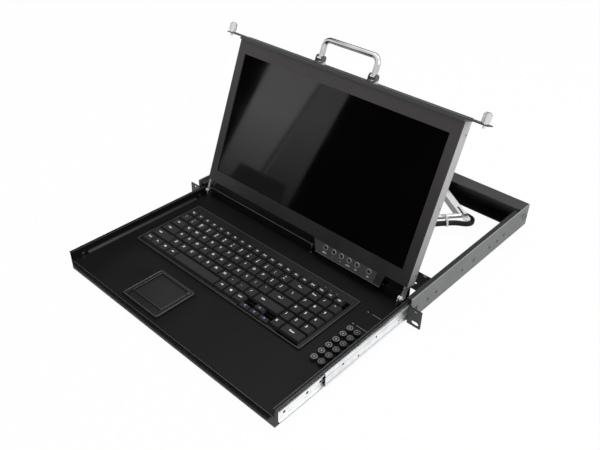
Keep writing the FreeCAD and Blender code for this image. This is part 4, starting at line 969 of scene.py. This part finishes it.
# --- handle and thumbscrews ---------------------------------------------------------
# A folding bright-chrome grip on two turned feet, and a captive knurled screw at each end
# of the panel.
chrome = plated("polished_chrome", (0.6, 0.6, 0.61), 0.08, depth=0.000002)
paint("handle", chrome, 0)
foot_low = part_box("handle_brackets")[0]
paint("handle_brackets", zoned(
    "bracket_chrome", (0.7, 0.7, 0.7), (0.02, 0.02, 0.021), 2,
    foot_low.z + 0.0045, foot_low.z + 0.0065, 0.16, 1.0,
), 0.0003)
panel_high = 0.26344


def knurled_screw(side):
    """A turned head with knurled bands, a coin slot and a thinner neck."""
    start = panel_high + 0.0001
    teeth = 28
    outline = [(0, 0), (0.0034, 0), (0.0034, 0.002), (0.0052, 0.002), (0.0056, 0.0024), (0.0056, 0.0062),
               (0.0048, 0.0067), (0.0048, 0.0078), (0.0056, 0.0083), (0.0056, 0.0126), (0.0052, 0.013),
               (0.0039, 0.0131), (0.0039, 0.0147), (0.0034, 0.015), (0, 0.015)]
    shape = turned(outline, teeth * 2)
    for vert in shape.verts:
        radius = math.hypot(vert.co.x, vert.co.y)
        turn = math.atan2(vert.co.y, vert.co.x)
        if radius > 0.0054 and round(turn / (math.pi / teeth)) % 2:
            vert.co.x *= 1.04
            vert.co.y *= 1.04
    bmesh.ops.transform(shape, matrix=lcd_place @ at(side * 0.2315, -0.0025, start), verts=shape.verts)
    return shape


screw_chrome = plated("knurled_nickel", (0.72, 0.72, 0.73), 0.14, depth=0.000004)
for side, label in ((-1, "left"), (1, "right")):
    paint("thumbscrew_" + label, screw_chrome, 0)
    finished(
        "knurled_head_" + label, knurled_screw(side), screw_chrome, "thumbscrew_" + label, 25
    )
    # A near-black bar across the head: painted shade for the coin slot.
    mark = block((-0.0037, 0.0037), (-0.0006, 0.0006), (0, 0.00008))
    slot_place = lcd_place @ at(side * 0.2315, -0.0025, panel_high + 0.01505)
    bmesh.ops.transform(mark, matrix=slot_place, verts=mark.verts)
    finished("coin_slot_" + label, mark, recess_shade_black, "thumbscrew_" + label)

# --- cable arm ----------------------------------------------------------------------
# Two folded galvanised links with a bundle of four black cables, bound to them by white
# cable ties whose tails stand out.
link_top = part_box("arm_link_rear")[1].z
# The rear link is drawn dark on its sides and bright along its top: painted shade on the sides and a painted
# lit top.
paint("arm_link_rear", zoned(
    "galvanised_rear_shaded", (0.26, 0.26, 0.235), (0.78, 0.79, 0.8), 2,
    link_top - 0.0012, link_top - 0.0004, 0.4, 0.6, grain=300, speckle=0.15,
))
paint("arm_link_front", plated("galvanised_sheet", (0.86, 0.87, 0.88), 0.36))
paint("arm_elbow_pin", screw_metal)
sleeve = coat("cable_sleeve", (0.0045, 0.0045, 0.0048), 0.42, 0.2)
REAR_PIVOT = Vector((0.0535, 0.322))
REAR_TURN = math.radians(-34.1)
FRONT_TURN = math.radians(-129.1)
ELBOW = Vector((0.15254, 0.25495))
LOW_RUN = 0.015875 - 0.0061
HIGH_RUN = 0.015875 - 0.0042


def beside(start, turn, along, aside, level):
    """A point beside a link, from its length along the link and its offset to the side."""
    return Vector((
        start.x + along * math.cos(turn) - aside * math.sin(turn),
        start.y + along * math.sin(turn) + aside * math.cos(turn),
        level,
    ))


rear_run = [beside(REAR_PIVOT, REAR_TURN, along, 0, LOW_RUN) for along in (0.014, 0.04, 0.062, 0.084)]
elbow_run = [
    beside(REAR_PIVOT, REAR_TURN, along, aside, level)
    for along, aside, level in (
        (0.084, 0, LOW_RUN), (0.098, 0, LOW_RUN), (0.109, 0.009, LOW_RUN), (0.122, 0.014, LOW_RUN + 0.0005),
        (0.133, 0.007, LOW_RUN + 0.001), (0.135, -0.006, HIGH_RUN - 0.0004),
    )
] + [beside(ELBOW, FRONT_TURN, along, 0.009, HIGH_RUN) for along in (0.017, 0.03)]
front_run = [beside(ELBOW, FRONT_TURN, along, 0.009, HIGH_RUN) for along in (0.03, 0.1, 0.17, 0.246)]


def strands(name, points):
    """Four sleeved cables lying side by side along one run."""
    bundle = []
    for turn in (45, 135, 225, 315):
        aside = 0.0023 * math.cos(math.radians(turn))
        rise = 0.0023 * math.sin(math.radians(turn))
        curve = bpy.data.curves.new(name, "CURVE")
        curve.dimensions = "3D"
        curve.bevel_depth = 0.00212
        curve.bevel_resolution = 4
        curve.resolution_u = 8
        curve.use_fill_caps = True
        line = curve.splines.new("NURBS")
        line.points.add(len(points) - 1)
        for index, point in enumerate(points):
            ahead = points[min(index + 1, len(points) - 1)] - points[max(index - 1, 0)]
            normal = Vector((-ahead.y, ahead.x, 0)).normalized()
            spot = point + normal * aside + Vector((0, 0, rise))
            line.points[index].co = (*spot, 1)
        line.order_u = 4
        line.use_endpoint_u = True
        carrier = bpy.data.objects.new(name, curve)
        scene.collection.objects.link(carrier)
        bpy.context.view_layer.update()
        tube = bpy.data.meshes.new_from_object(carrier.evaluated_get(bpy.context.evaluated_depsgraph_get()))
        bpy.data.objects.remove(carrier)
        bpy.data.curves.remove(curve)
        shape = bmesh.new()
        shape.from_mesh(tube)
        bpy.data.meshes.remove(tube)
        bmesh.ops.remove_doubles(shape, verts=shape.verts, dist=0.000001)
        bundle.append(shape)
    return joined(bundle)


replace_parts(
    finished("cable_strands_rear", strands("rear", rear_run), sleeve, "arm_rear", 50),
    "cable_rear",
)
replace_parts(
    finished("cable_strands_front", strands("front", front_run), sleeve, "arm_front", 50),
    "cable_front",
)
elbow = finished("cable_strands_elbow", strands("elbow", elbow_run), sleeve, None, 50)
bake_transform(elbow)
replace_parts(elbow, "cable_elbow")
tie_nylon = coat("tie_nylon", (0.8, 0.8, 0.78), 0.4, 0.5)
for name in ("zip_tie_front", "zip_tie_rear"):
    paint(name, tie_nylon, 0)
for label, body, lock_rise, tail_long in (
    ("front", "arm_front", 0.0028, 0.0125), ("rear", "arm_rear", 0.0004, 0.0006),
):
    tie_low, tie_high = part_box("zip_tie_" + label)
    middle = (tie_low + tie_high) / 2
    lock = block((middle.x - 0.0025, middle.x + 0.0025), (middle.y - 0.002, middle.y + 0.002),
                 (tie_high.z - 0.0012, tie_high.z + lock_rise), 0.0005)
    tail = block((middle.x - 0.0011, middle.x + 0.0011), (middle.y - 0.0006, middle.y + 0.0004),
                 (tie_high.z, tie_high.z + tail_long), 0.0002)
    bmesh.ops.rotate(tail, verts=tail.verts, cent=(middle.x, middle.y, tie_high.z),
                     matrix=Matrix.Rotation(math.radians(-24), 3, "Y"))
    finished("tie_lock_" + label, joined([lock, tail]), tie_nylon, body)

bundle_loop = rim((0, 0.0095), (-0.0074, 0.0024), (0, 0.0028), 0.0007, 0.0025, 0)
link_loop = rim((-0.0095, 0.0035), (0.0019, 0.0074), (0, 0.0028), 0.0007, 0.0015, 0)
band = joined([bundle_loop, link_loop])
band_place = Matrix.Translation(beside(ELBOW, FRONT_TURN, 0.0335, 0.0047, 0.0143))
across_link = Matrix(((0, 0, 1, 0), (1, 0, 0, 0), (0, 1, 0, 0), (0, 0, 0, 1)))
band_turn = Matrix.Rotation(FRONT_TURN, 4, "Z") @ across_link
bmesh.ops.transform(band, matrix=band_place @ band_turn, verts=band.verts)
finished("tie_band_front", band, tie_nylon, "arm_front", 50)
